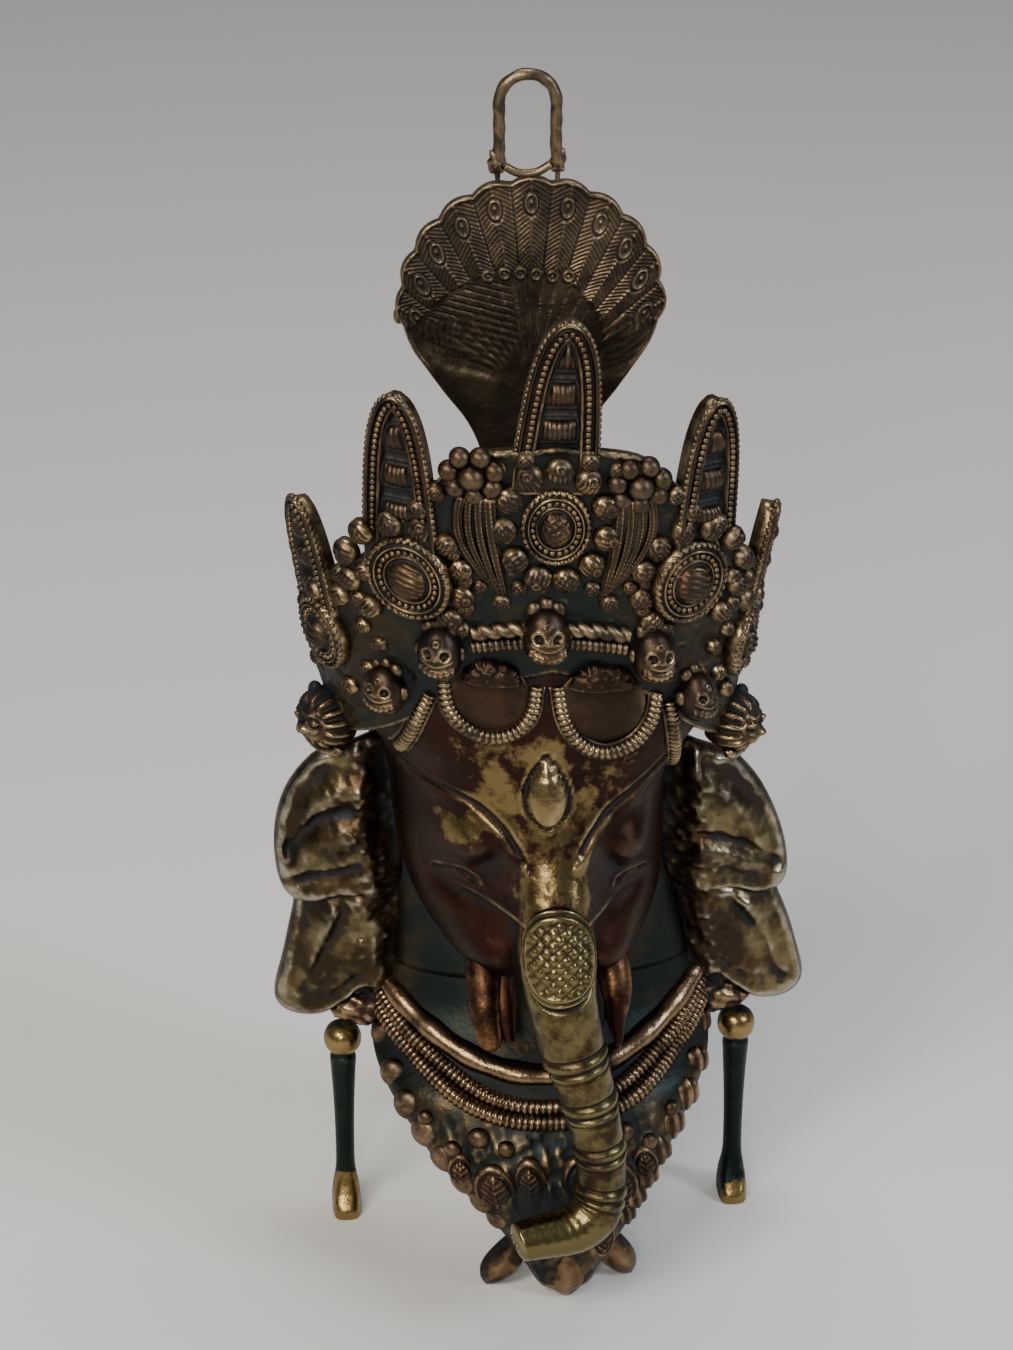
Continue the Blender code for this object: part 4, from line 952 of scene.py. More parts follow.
def medallions_shape():
    """The five medallions, three of them ringed with bosses."""
    shape = Shape()
    for index, (plan, z, wide, high, count, reach) in enumerate(MEDALLIONS):
        place = crown_place(plan, z)
        kind = 0 if index == 0 else (1 if index < 3 else 2)
        rings = medallion_height(kind, wide, high)
        shape.dome(place, wide, high, 38, 140, rings, 3.0, 0.34 if index == 0 else 0.2)
        for k in range(count):
            turn = 2 * math.pi * (k + (0.1 if index == 0 else 0.5)) / count
            if index and math.cos(turn) < -0.72:
                continue
            size = 5.1 if index == 0 else 4.6
            a, b = (wide + reach) * math.sin(turn), (high + reach + 0.6) * math.cos(turn)
            here = crown_place(plan + a * abs(place[1][0]), z + b * 0.98)
            carving = boss_height(size, turn + math.pi, k)
            shape.dome(here, size, size, 12, 26, carving, 2.0, 0.36 if index == 0 else 0.24)
    return shape


def dented(depth, width):
    """The relief of a ball with a dimple in the middle of its front."""

    def relief(a, b, c):
        return -depth * np.exp(-((a * a + b * b) / width)) * (c > 0)

    return relief


def lock_relief(run, angle):
    """Flutes that turn slowly along a lock of hair, with fine nicks across them."""
    return 0.32 * np.cos(8 * angle + 0.12 * run) + 0.14 * np.cos(run * 4.2 + 2 * np.cos(angle))


def rosettes_shape():
    """Flowers of balls, the fluted locks that hang beside the middle medallion, and the bosses of the rim."""
    shape = Shape()
    for hand, (plan, z) in zip((-1, 1), ROSETTES):
        place = crown_place(plan, z)
        shape.ball((on_frame(place, 0, 0, 2.6), *place[1:]), (4.6, 4.6, 4.4), 18, 28, None, -0.3)
        for k in range(7):
            turn = math.pi * (2 * k / 7 + 0.12)
            spot = on_frame(place, 7.9 * math.sin(turn), 7.4 * math.cos(turn), 0.8)
            shape.ball((spot, *place[1:]), (3.8, 3.8, 3.7), 16, 24, dented(0.1, 0.05), -0.35)
        for k in range(4):
            starts, ends = plan - hand * (5.5 - 3.1 * k), hand * (17.5 + 1.6 * k) - 1.0
            line = []
            for share in np.linspace(0.0, 1.0, 50):
                bow = hand * (1.0 + 1.2 * k) * math.sin(math.pi * share)
                at = starts + (ends - starts) * share**1.35 + bow
                here, _, _, out = crown_place(at, 333.0 - (41.0 - 2.0 * k) * share)
                width = (2.9 - 0.25 * k) * (1 - share**3) ** 0.6 + 0.25
                line.append((*(here + out * (0.3 + 0.35 * (k % 2))), width))
            shape.tube(line, 34, lock_relief, 0.02, 0.8, (0.0, -1.0, 0.0))
        for plan_x, height, size in RIM_BOSSES:
            here = crown_place(hand * plan_x, height)
            shape.dome(here, size, size, 10, 20, boss_height(size, plan_x, int(plan_x)), 2.0, 0.2)
    return shape


def leaf_half(share, width):
    """Half the leaf's width at a share of its height."""
    return width / 2 * (1 - 0.24 * share) * (1 - np.clip(share, 0.0, 1.0) ** 4.5) ** 0.5


def leaf_frames():
    """Each leaf's frame, its height above the rim and its width."""
    for plan, tip, width, tilt in LEAVES:
        foot = between(CROWN_RIM_HEIGHT, abs(plan)) - 3.0
        here, side, _, out = crown_place(plan, foot)
        out = np.array((out[0], out[1], 0.0))
        out /= np.linalg.norm(out)
        slope = math.tan(math.radians(tilt))
        aside = MIDDLE_LEAF_SHIFT if abs(plan) < 20 else 0.0
        up = np.array((0.0, 0.0, 1.0)) - side * aside / (tip - foot)
        yield (here + side * aside, side, up, out), tip - foot, width, slope


def leaf_border(height, width, inset, foot, count=60):
    """The line that runs up one side of a leaf, over the top and down, at the inset from its edge."""
    side_share = np.linspace(foot / height, 0.8, 24)[:-1]
    share = np.concatenate([side_share, 0.8 + 0.2 * np.sin(np.linspace(0, math.pi / 2, 28))])
    half, b = leaf_half(share, width), share * height
    run = np.gradient(np.stack([half, b], 1), axis=0)
    run /= np.linalg.norm(run, axis=1)[:, None]
    side = np.stack([half - run[:, 1] * inset, b + run[:, 0] * inset], 1)
    side = side[side[:, 0] > 0.4]
    line = np.vstack([side, side[::-1] * (-1, 1)])
    return even(np.column_stack([line, np.zeros(len(line))]), count)[:, :2]


def leaf_shape():
    """The five leaves: an arched plate with raised borders around a sunk panel of stacked bosses."""
    shape = Shape()
    for index, (place, height, width, slope) in enumerate(leaf_frames()):
        step = 4
        rows, columns = 4 * round((height + LEAF_ROOT) / 0.52 / 4) + 1, 73
        b = np.linspace(-LEAF_ROOT, height - 0.2, rows)[:, None]
        half = leaf_half(np.clip(b / height, 0.0, 1.0), width)
        u = np.sin(np.linspace(-1.35, 1.35, columns)) / math.sin(1.35)
        a = u[None, :] * half
        border = leaf_border(height, width, 0.0, -LEAF_ROOT, 140)
        edge, _ = near_line(a, b + 0 * a, border)
        tall = index == 2
        inner = 7.2 if tall else 6.2
        rise = 1.1 * bump(edge, 0.9, 1.1) + 0.9 * bump(edge, inner - 1.4, 1.1)
        sunk = ease(edge, inner - 0.6, inner + 0.2)
        rise = rise - 2.2 * sunk - 0.5 * bump(edge, 2.0, 0.7)
        panel = half - inner
        for middle, size, ribs in TALL_LEAF_BOSSES if tall else LEAF_BOSSES:
            up = (b - middle * height) / size
            across = a / np.maximum(panel + 0.3, 1.5)
            round_part = np.sqrt(np.clip(1 - up * up, 0.0, 1.0)) * np.sqrt(np.clip(1 - across**2, 0.0, 1.0))
            lines = 0.5 * np.abs(np.cos(math.pi * a / (1.7 if ribs else 2.6) + 0.5 * up))
            rise = rise + sunk * (round_part * 4.4 + lines * (round_part > 0.3))
            rise = rise + sunk * 0.9 * bump(np.abs(up), 1.2, 0.22)
        rise = rise * ease(b, -9.0, 1.0) + 0.15 * wander(a, b, edge, 5.0, index)
        lift = slope * np.maximum(b, 0.0)
        front = on_frame(place, a, b + 0 * a, rise + lift)
        back = on_frame(place, a, b + 0 * a, lift - LEAF_THICKNESS + 0 * a)[::step, ::step]
        shape.slab(front, back, step, 0.1 + 0.25 * ease(b, height - 9, height) + 0 * a)
    return shape


def bead_tree():
    """A node tree that sets beads at an even pitch along every path it is given."""
    tree = bpy.data.node_groups.new("beads_along_a_path", "GeometryNodeTree")
    tree.interface.new_socket("Paths", in_out="INPUT", socket_type="NodeSocketGeometry")
    for name, default in (("Pitch", 0.0024), ("Radius", 0.001)):
        socket = tree.interface.new_socket(name, in_out="INPUT", socket_type="NodeSocketFloat")
        socket.default_value, socket.subtype = default, "DISTANCE"
    tree.interface.new_socket("Finish", in_out="INPUT", socket_type="NodeSocketMaterial")
    tree.interface.new_socket("Beads", in_out="OUTPUT", socket_type="NodeSocketGeometry")
    given = add_node(tree, "NodeGroupInput").outputs
    curve = add_node(tree, "GeometryNodeMeshToCurve", None, {"Mesh": given["Paths"]})
    spots = add_node(
        tree,
        "GeometryNodeResampleCurve",
        {"mode": "LENGTH"},
        {"Curve": curve.outputs["Curve"], "Length": given["Pitch"]},
    )
    bead = add_node(tree, "GeometryNodeMeshIcoSphere", {"Subdivisions": 2}, {"Radius": given["Radius"]})
    row = add_node(
        tree,
        "GeometryNodeInstanceOnPoints",
        None,
        {"Points": spots.outputs["Curve"], "Instance": bead.outputs["Mesh"]},
    )
    solid = add_node(tree, "GeometryNodeRealizeInstances", None, {"Geometry": row.outputs["Instances"]})
    finish = add_node(
        tree,
        "GeometryNodeSetMaterial",
        None,
        {"Geometry": solid.outputs["Geometry"], "Material": given["Finish"]},
    )
    add_node(tree, "NodeGroupOutput", None, {"Beads": finish.outputs["Geometry"]})
    return tree


def bead_rows(name, paths, sizes, material, gilt):
    """Beads along paths given in the mask's frame, as one plain mesh."""
    if "beads_along_a_path" not in bpy.data.node_groups:
        bead_tree()
    tree = bpy.data.node_groups["beads_along_a_path"]
    points = (lean(np.concatenate(paths)) + (0.0, BACK, 0.0)) * MM
    edges, start = [], 0
    for path in paths:
        edges += [(start + k, start + k + 1) for k in range(len(path) - 1)]
        start += len(path)
    line = bpy.data.meshes.new(name + "_paths")
    line.from_pydata(points.tolist(), edges, [])
    guide = bpy.data.objects.new(name + "_paths", line)
    bpy.context.scene.collection.objects.link(guide)
    modifier = guide.modifiers.new("beads", "NODES")
    modifier.node_group = tree
    for socket, value in zip(("Pitch", "Radius", "Finish"), (*sizes, material)):
        modifier[tree.interface.items_tree[socket].identifier] = value
    bpy.context.view_layer.update()
    ready = guide.evaluated_get(bpy.context.evaluated_depsgraph_get())
    mesh = bpy.data.meshes.new_from_object(ready, depsgraph=bpy.context.evaluated_depsgraph_get())
    bpy.data.objects.remove(guide)
    bpy.data.meshes.remove(line)
    mesh.name = name
    mesh.shade_smooth()
    store = mesh.attributes.new("gilt", "FLOAT", "POINT")
    store.data.foreach_set("value", np.full(len(mesh.vertices), gilt, np.float32))
    obj = bpy.data.objects.new(name, mesh)
    bpy.context.scene.collection.objects.link(obj)
    return obj


def leaf_bead_paths():
    """The paths of the beads on each leaf's outer and inner border."""
    paths = []
    for index, (place, height, width, slope) in enumerate(leaf_frames()):
        for inset, out in ((0.15, -0.7), (3.6 if index == 2 else 3.1, 0.5)):
            line = leaf_border(height, width, inset, 0.0, 90)
            paths.append(on_frame(place, line[:, 0], line[:, 1], out + slope * np.maximum(line[:, 1], 0.0)))
    return paths


def ring_paths():
    """Rings of beads on the medallions."""
    paths = []
    for plan, z, wide, high, _, _ in MEDALLIONS:
        place = crown_place(plan, z)
        turn = np.linspace(0.0, 2 * math.pi, 72)
        for share, out in ((0.93, 1.9), (0.66, 2.3)):
            paths.append(on_frame(place, wide * share * np.sin(turn), high * share * np.cos(turn), out + 0 * turn))
    return paths


# The headband


def skull_relief(a, b, c):
    """Eye hollows, a nose, a brow dot and two rows of teeth, on the unit ball that faces c."""
    front = ease(c, 0.0, 0.3)
    eyes = 0.0
    for hand in (-1, 1):
        reach = np.hypot(a - hand * 0.4, (b - 0.24) * 1.35)
        eyes = eyes - 0.3 * np.exp(-((reach / 0.17) ** 4)) + 0.12 * np.exp(-((reach / 0.06) ** 2))
        eyes = eyes + 0.05 * np.exp(-(((reach - 0.25) / 0.06) ** 2))
    spot = np.hypot(a, (b - 0.58) * 1.35)
    dot = 0.05 * np.exp(-(((spot - 0.12) / 0.045) ** 2)) - 0.07 * np.exp(-((spot / 0.05) ** 2))
    nose = 0.1 * np.exp(-((a / 0.14) ** 2 + ((b - 0.1) / 0.12) ** 2))
    nose = nose - 0.1 * np.exp(-((a / 0.1) ** 2 + ((b + 0.02) / 0.05) ** 2))
    smile = b + 0.24 - 0.3 * a * a
    inside = ease(np.abs(a), 0.82, 0.68)
    teeth = (0.04 + 0.11 * np.abs(np.cos(a * math.pi / 0.24))) * bump(smile, -0.19, 0.15)
    lips = 0.07 * bump(smile, 0.12, 0.1) - 0.2 * bump(smile, 0.0, 0.06) - 0.12 * bump(smile, -0.38, 0.06)
    return front * (eyes + nose + dot + (teeth + lips) * inside) - 0.1 * ease(b, -0.5, -0.9)


def beast_relief(a, b, c):
    """The small beast: brows, eyes, cheeks, a muzzle with a mouth, and locks of mane around the back."""
    front = ease(c, 0.0, 0.4)
    eyes = sum(
        0.14 * np.exp(-(((a - s * 0.34) ** 2 + (b - 0.15) ** 2) / 0.012))
        - 0.1 * np.exp(-(((np.hypot(a - s * 0.34, b - 0.15) - 0.2) / 0.05) ** 2))
        + 0.17 * np.exp(-(((a - s * 0.36) / 0.26) ** 2 + ((b - 0.42 + 0.4 * np.abs(a)) / 0.09) ** 2))
        + 0.2 * np.exp(-(((a - s * 0.3) ** 2 + (b + 0.32) ** 2) / 0.04))
        for s in (-1, 1)
    )
    nose = 0.3 * np.exp(-((a / 0.22) ** 2 + ((b + 0.1) / 0.14) ** 2))
    mouth = -0.22 * np.exp(-(((b + 0.55) / 0.06) ** 2)) * (np.abs(a) < 0.5)
    mane = 0.1 * np.cos(np.arctan2(a, b) * 14) * ease(np.hypot(a, b), 0.62, 0.8)
    return front * (eyes + nose + mouth) + mane


def head_run(points, lift):
    """Places on the head's skin from rows of (x, z)."""
    return [(x, -head_depth(x, z) - lift, z) for x, z in points]


def twisted(pitch, strands, depth):
    """The relief of a rope of twisted strands."""
    return lambda s, t: depth * np.abs(np.cos(strands * t / 2 - s * math.pi / pitch)) - depth * 0.4


def ribbed(pitch, depth):
    """The relief of a rope of ribs across it."""
    return lambda s, t: depth * (np.abs(np.cos(s * math.pi / pitch)) ** 0.7 - 0.55) + 0 * t


def headband_shape():
    """Skulls, beasts, ropes and the ribbed swags that hang over the forehead."""
    shape = Shape()
    for plan, z, size in SKULLS:
        here, _, _, out = crown_place(plan, z)
        turn = math.atan2(out[0], -out[1])
        place = facing(here + out * 3.0, turn)
        shape.ball(place, (size * 1.02, size * 1.45, size * 1.0), 52, 72, skull_relief, 0.24)
        for a, b in ((-0.5, 1.25), (0.0, 1.45), (0.5, 1.25)):
            bud = (on_frame(place, a * size, b * size, -2.0), *place[1:])
            shape.ball(bud, (size * 0.36, size * 0.42, size * 0.36), 12, 20, None, -0.2)
        for a in (-1, 1):
            spot = (on_frame(place, a * size * 0.92, size * 0.1, -size * 0.2), *place[1:])
            shape.ball(spot, (2.0, 3.0, 2.4), 10, 16, None, -0.1)
    for hand, (plan, z) in zip((-1, 1), BEASTS):
        here, _, _, out = crown_place(plan, z)
        turn = math.atan2(out[0], -out[1]) * 0.75
        place = facing(here + out * 2.0, turn)
        shape.ball(place, (BEAST_SIZE, BEAST_SIZE * 0.95, BEAST_SIZE * 0.95), 56, 84, beast_relief, 0.3)
        for a in (-1, 1):
            spot = (on_frame(place, a * 7.6, 7.4, -0.5), *place[1:])
            shape.ball(spot, (3.0, 3.6, 2.6), 16, 24, dented(0.3, 0.14), -0.1)
        turns = np.linspace(math.pi, 2 * math.pi, 24)
        collar = [on_frame(place, 9.5 * math.cos(t), -7.5 + 4.5 * math.sin(t), 3.0) for t in turns]
        shape.tube([(*p, 1.7) for p in collar], 12, ribbed(2.2, 0.5), 0.2)
    for start, end in ((-31.0, -11.0), (4.0, 28.0)):
        for fall, size, relief in ((0.0, 2.6, twisted(5.0, 2, 0.8)), (-5.6, 2.3, ribbed(2.1, 0.7))):
            line = []
            for x in np.linspace(start, end, 120):
                z = 281.0 + fall - 0.0035 * (x + 2) ** 2
                here, _, _, out = crown_place(x, z)
                line.append((*(here + out * 0.8), size))
            shape.tube(line, 16, relief, 0.0)
    for rows in SWAGS:
        path = smooth_curve(rows, 8)
        run = head_run(path, 0.9)
        line = even(np.column_stack([run, np.full(len(path), 2.5)]), 4 * round(line_length(run) / 1.1))
        shape.tube(line, 16, ribbed(2.15, 0.75), 0.42)
        for aside in (-1, 1):
            turned_path = np.gradient(path, axis=0)
            turned_path /= np.linalg.norm(turned_path, axis=1)[:, None]
            moved = path + aside * 2.6 * np.stack([-turned_path[:, 1], turned_path[:, 0]], 1)
            rail = even(np.column_stack([head_run(moved, 0.2), np.full(len(moved), 0.95)]), 90)
            shape.tube(rail, 10, None, 0.36)
    return shape


def pads_shape():
    """The stippled pads over the brow and the smooth cushions under them that fill the swags."""
    shape = Shape()
    for middle, z, wide in ((-21.5, 259.5, 10.0), (17.0, 258.5, 11.5)):
        here = np.array(head_run([(middle, z)], 0.0)[0])
        place = facing(here - (0.0, 2.4, 0.0), math.atan2(middle * 0.5, 66.0))

        def stipple(a, b, c, wide=wide):
            grains = grain(a * wide, b * 7.6, 0.0, 1.25, 7) + 0.4
            return (0.09 * grains * (b > -0.16) - 0.5 * ease(b, -0.16, -0.4)) * (c > 0) - 0.7 * ease(-c, 0.0, 0.4)

        shape.ball(place, (wide, 7.6, 4.6), 54, 96, stipple, 0.2)
        under = (on_frame(place, 0.0, -9.0, -1.2), *place[1:])
        shape.ball(under, (wide * 1.42, 15.5, 3.0), 24, 48, lambda a, b, c: -0.7 * ease(-c, 0.0, 0.4), 0.1)
    return shape


# The neck, the collar and the bib


def neck_shape():
    """The neck's side walls and the bib, with its scales, open at the back."""
    shape = Shape()
    for hand in (-1, 1):
        z = np.linspace(114.0, 212.0, 33)[:, None]
        wide, deep = read(NECK, z, 1), read(NECK, z, 2)
        inner = np.minimum(read(HEAD, z, 1) - 5.0, wide - 2.0)
        x = wide + (inner - wide) * np.linspace(0.0, 1.0, 17)[None, :]
        y = -deep * (1 - np.minimum(x / wide, 1.0) ** NECK_ROUNDNESS) ** (1 / NECK_ROUNDNESS) - BACK_STEP
        front = np.stack([hand * x, y + 0 * z, z + 0 * x], -1)
        under = np.stack([hand * (x - NECK_WALL * 0.8), np.minimum(y + NECK_WALL, -0.02), z + 0 * x], -1)
        shape.slab(front, under[::4, ::4], 4, -1.0)
    step, rows, columns = 4, 129, 161
    z = np.linspace(4.0, 116.5, rows)[:, None]
    angle = np.radians(np.linspace(-90.0, 90.0, columns))[None, :]
    wide, deep, side = (read(NECK, z, k) for k in (1, 2, 3))
    side = np.maximum(side, BACK_STEP)
    s, c = np.sin(angle), np.clip(np.cos(angle), 0.0, None)
    x = np.sign(s) * np.abs(s) ** (2 / NECK_ROUNDNESS) * wide
    ahead = c ** (2 / NECK_ROUNDNESS)
    y = -(ahead * (deep - side) + side)
    front_face = np.sqrt(c) * ease(z, 112.0, 96.0)
    rise = 0.8 * wander(x, z, y, 13.0, 1.0) + 0.6 * wander(x * 1.3, z, y, 6.0, 2.0)
    rise = rise * ease(z, 74.0, 66.0) * front_face
    scales = np.abs(np.sin(x * math.pi / 8.5 + 0.6 * np.sign(x)))
    scales = scales * np.abs(np.cos(z * math.pi / 12.0 + np.abs(x) * 0.09))
    rise = rise + 1.6 * scales * ease(z, 70.0, 62.0) * ease(z, 12.0, 24.0) * front_face
    rise = rise + 0.3 * wander(x, y, z, 21.0, 6.0)
    front = np.stack([x, y - rise, z + 0 * x], -1)
    inner_z = z[::step]
    inner_wide, inner_deep, inner_side = (read(NECK, inner_z, k) for k in (1, 2, 3))
    inner_side = np.maximum(inner_side, BACK_STEP)
    s, c = s[:, ::step], c[:, ::step]
    inner_x = np.sign(s) * np.abs(s) ** (2 / NECK_ROUNDNESS) * (inner_wide - NECK_WALL)
    inner_y = -(c ** (2 / NECK_ROUNDNESS) * (inner_deep - inner_side) + inner_side) + NECK_WALL
    inner_y = np.minimum(inner_y, -0.02)
    back = np.stack([inner_x, inner_y, inner_z + 0 * inner_x], -1)
    shape.slab(front, back, step, 0.12 + 0.15 * ease(z, 80, 60) + 0 * x)
    return shape


def collar_line(height, drop, lift, count):
    """A line that hangs round the neck's skin, from side to side."""
    share = np.linspace(-1.0, 1.0, count)
    x = share * COLLAR_HALF_SPAN
    z = height + drop * (1 - np.abs(share) ** 2.2)
    return np.stack([x, -neck_depth(x, z) - lift, z], 1)


def roll_relief(run, angle):
    """The slight unevenness of the smooth roll."""
    return 0.25 * np.sin(run * 0.35) + 0.2 * np.cos(2 * angle)


def fringe_relief(a, b, c):
    """Upright grooves on the front of a lump."""
    return 0.1 * np.cos(a * 9) * (c > 0)


def collar_shape():
    """The smooth neck roll, two ribbed ropes, and the bosses, leaves and lobes of the bib."""
    shape = Shape()
    for index, (height, drop, radius, lift) in enumerate(COLLAR_RUNS):
        line = collar_line(height, drop, lift, 240)
        line = even(np.column_stack([line, np.full(len(line), radius)]), 372)
        relief = ribbed(2.25, 0.85) if index else roll_relief
        shape.tube(line, 18 if index else 24, relief, 0.5 if index == 0 else 0.42)
    for hand in (-1, 1):
        for x, z, size in BIB_EDGE:
            y = -float(neck_depth(min(x, 62.0), z))
            edge = facing((hand * (x - 2.5), y - 0.5, z), hand * 0.55)
            if hand < 0:
                shape.ball(edge, (size * 1.15, size * 1.2, size * 0.8), 16, 24, None, -0.05)
            else:
                shape.ball(edge, (size * 1.1, size * 1.25, size * 0.75), 18, 30, fringe_relief, 0.15)
        for x, z, size in BIB_BOSSES:
            y = -float(neck_depth(x, z))
            shape.ball(facing((hand * x, y, z), hand * 0.3), (size, size, size * 0.8), 16, 24, None, 0.1)
        for x, z, wide, high in BIB_LEAVES:
            place = facing((hand * x, -float(neck_depth(x, z)) + 1.0, z), hand * 0.2)

            def veined(share, angle, a, b, wide=wide, high=high):
                body = 3.4 * np.sqrt(np.clip(1 - share**2, 0.0, 1.0)) - 0.9 * bump(share, 0.72, 0.12) + 0 * angle
                veins = 0.4 * np.cos((b - 0.8 * np.abs(a)) * 2.4) * (share < 0.6)
                return body + veins + 0.5 * bump(a, 0.0, 0.8) * (share < 0.8)

            shape.dome(place, wide, high, 18, 48, veined, 2.0, 0.22)
    for index, (x, y, turn) in enumerate(LOBES):
        angle = math.radians(turn)
        here = np.array((x, y, 0.0))
        across = np.array((math.cos(angle), math.sin(angle), 0.0))
        ahead = np.array((math.sin(angle), -math.cos(angle), 0.0))
        profile = smooth_curve(LOBE_PROFILE, 5)
        t = 2 * math.pi * np.arange(40) / 40
        rings = []
        for height, share in profile:
            ridge = 1 + 0.16 * np.exp(-(((t - math.pi / 2) / 0.35) ** 2))
            ridge = ridge - 0.1 * np.exp(-(((t - math.pi / 2 - 0.9) / 0.3) ** 2))
            reach = share * LOBE_SIZE * ridge
            ring = here + np.outer(np.cos(t) * reach * 0.8, across) + np.outer(np.sin(t) * reach * 0.55, ahead)
            rings.append(ring + np.array((-x * 0.02 * height, 0.0, height)))
        n = len(rings)
        faces = grid_faces(n, 40, closed=True) + [list(range(40))[::-1], list(range((n - 1) * 40, n * 40))]
        shape.add(np.array(rings), faces, 0.45)
    return shape


def lug_relief(a, b, c):
    """Lumps left from the wax."""
    return 0.1 * np.cos(a * 7 + 3 * b) * np.cos(b * 6 + 2 * c) + 0.06 * np.cos(a * 15) * np.cos(c * 12)


def lug_shape():
    """The rough lumps beside the collar's ends that the legs are fixed under."""
    shape = Shape()
    for hand in (-1, 1):
        place = facing((hand * 66.0, -9.5, LEG_TOP + 7.6), 0.0)
        shape.ball(place, (13.4, 7.2, 7.0), 26, 44, lug_relief, 0.42)
    return shape


# The peacock tail and the loop


def fan_outline(count):
    """The distance from the disc's middle to the plate's edge, all round: scallops above, a stem below."""
    mid_x, mid_z = FAN_CENTRE
    start, end = math.radians(-8), math.radians(188)
    spans = 240
    points = []
    for i in range(spans + 1):
        angle = start + (end - start) * i / spans
        phase = (i * FAN_SCALLOPS / spans) % 1.0
        radius = FAN_RADIUS - FAN_SCALLOP_DEPTH * (1 - math.sin(math.pi * phase) ** 0.8)
        points.append((radius * math.cos(angle), radius * math.sin(angle)))
    waist = smooth_curve([(x, z - mid_z) for x, z in FAN_WAIST], 12)
    foot = [(x, waist[-1][1]) for x in np.linspace(-waist[-1][0], waist[-1][0], 14)[1:-1]]
    ring = np.array([*points, *[(-x, z) for x, z in waist], *foot, *waist[::-1]])
    angle = np.unwrap(np.arctan2(ring[:, 1], ring[:, 0]))
    reach = np.hypot(ring[:, 0], ring[:, 1])
    upper = np.linspace(angle[0], angle[spans], 384, endpoint=False)
    lower = np.linspace(angle[spans], angle[0] + 2 * math.pi, count - 384, endpoint=False)
    at = np.concatenate([upper, lower])
    table = np.concatenate([angle, [angle[0] + 2 * math.pi]])
    return at, np.interp(at, table, np.append(reach, reach[0]))


def fan_relief(x, z, edge):
    """Feathers with barbs and eyes, the row of ringed dots, the hatched field and the raised rim."""
    dx, dz = x - FEATHER_ORIGIN[0], z - FEATHER_ORIGIN[1]
    phi, rho = np.arctan2(dz, dx), np.hypot(dx, dz)
    start, end = math.radians(-8), math.radians(188)
    valleys = start + (end - start) * np.arange(FAN_SCALLOPS + 1) / FAN_SCALLOPS
    rim = FAN_RADIUS - 1.0
    rim_x = FAN_CENTRE[0] + rim * np.cos(valleys) - FEATHER_ORIGIN[0]
    rim_z = FAN_CENTRE[1] + rim * np.sin(valleys) - FEATHER_ORIGIN[1]
    rim_phi = np.arctan2(rim_z, rim_x)
    number = np.interp(phi, rim_phi, np.arange(FAN_SCALLOPS + 1))
    across = (number - np.floor(number)) - 0.5
    reach = np.interp(phi, rim_phi, np.hypot(rim_x, rim_z))
    width = np.maximum(reach * 0.2 * rho / reach, 2.0)
    start_rho = np.interp(phi, np.radians([10, 40, 75, 100, 160]), [20, 31, 42, 44, 47])
    feather = ease(rho, start_rho + 1.0, start_rho + 2.5) * ease(edge, 0.6, 1.4)
    feather = feather * ease(phi, math.radians(6), math.radians(12))
    feather = feather * (1 - ease(phi, math.radians(166), math.radians(172)))
    barbs = np.abs(np.sin((rho + 9.0 * np.abs(across)) * math.pi / 1.75))
    quill = 0.55 * bump(across * width, 0.0, 0.7)
    gap = 0.75 * bump(np.abs(across) * width, 0.5 * width, 0.55)
    rise = feather * (0.42 * barbs + quill - gap)
    along = (reach - rho) - 8.0
    eye = np.hypot(across * width / 2.5, along / np.where(along > 0, 4.6, 3.2))
    rings = 0.1 + 0.85 * bump(eye, 0.86, 0.22) + 0.7 * bump(eye, 0.0, 0.32) - 0.5 * bump(eye, 1.15, 0.12)
    rise = np.where((eye < 1.25) & (feather > 0.5), rings, rise)
    inner = (rho < start_rho) * ease(rho, 12.0, 18.0) * ease(edge, 3.0, 6.0)
    rays = np.abs(np.cos(math.pi * number * 1.5))
    lattice = inner * ease(phi, math.radians(52), math.radians(60))
    lattice = lattice * (1 - ease(phi, math.radians(158), math.radians(166)))
    rise = rise - 0.6 * lattice * np.exp(-((rays * width * 0.5 / 0.5) ** 2))
    grid = ease(phi, math.radians(98), math.radians(106)) * lattice
    rise = rise - 0.45 * grid * np.exp(-((np.cos((dz * 0.92 + dx * 0.28) * math.pi / 2.5) / 0.3) ** 2))
    for k in range(6):
        dot_x, dot_z = FAN_CENTRE[0] - 15.0 + 5.6 * k, FAN_CENTRE[1] + 11.2 + 0.9 * math.sin(k)
        dot = np.hypot(x - dot_x, z - dot_z)
        rise = np.where(dot < 2.7, 0.8 * bump(dot, 1.75, 0.8) + 0.7 * bump(dot, 0.0, 0.7), rise)
    rise = rise + 0.75 * bump(edge, 0.7, 1.1) * ease(z, 345.0, 352.0)
    return rise + 0.12 * wander(x, z, x, 9.0)


def root_relief(a, b, c):
    """The lumps of metal at the loop's roots."""
    return 0.1 * np.cos(a * 5 + b * 4) + 0.08 * np.cos(b * 9)


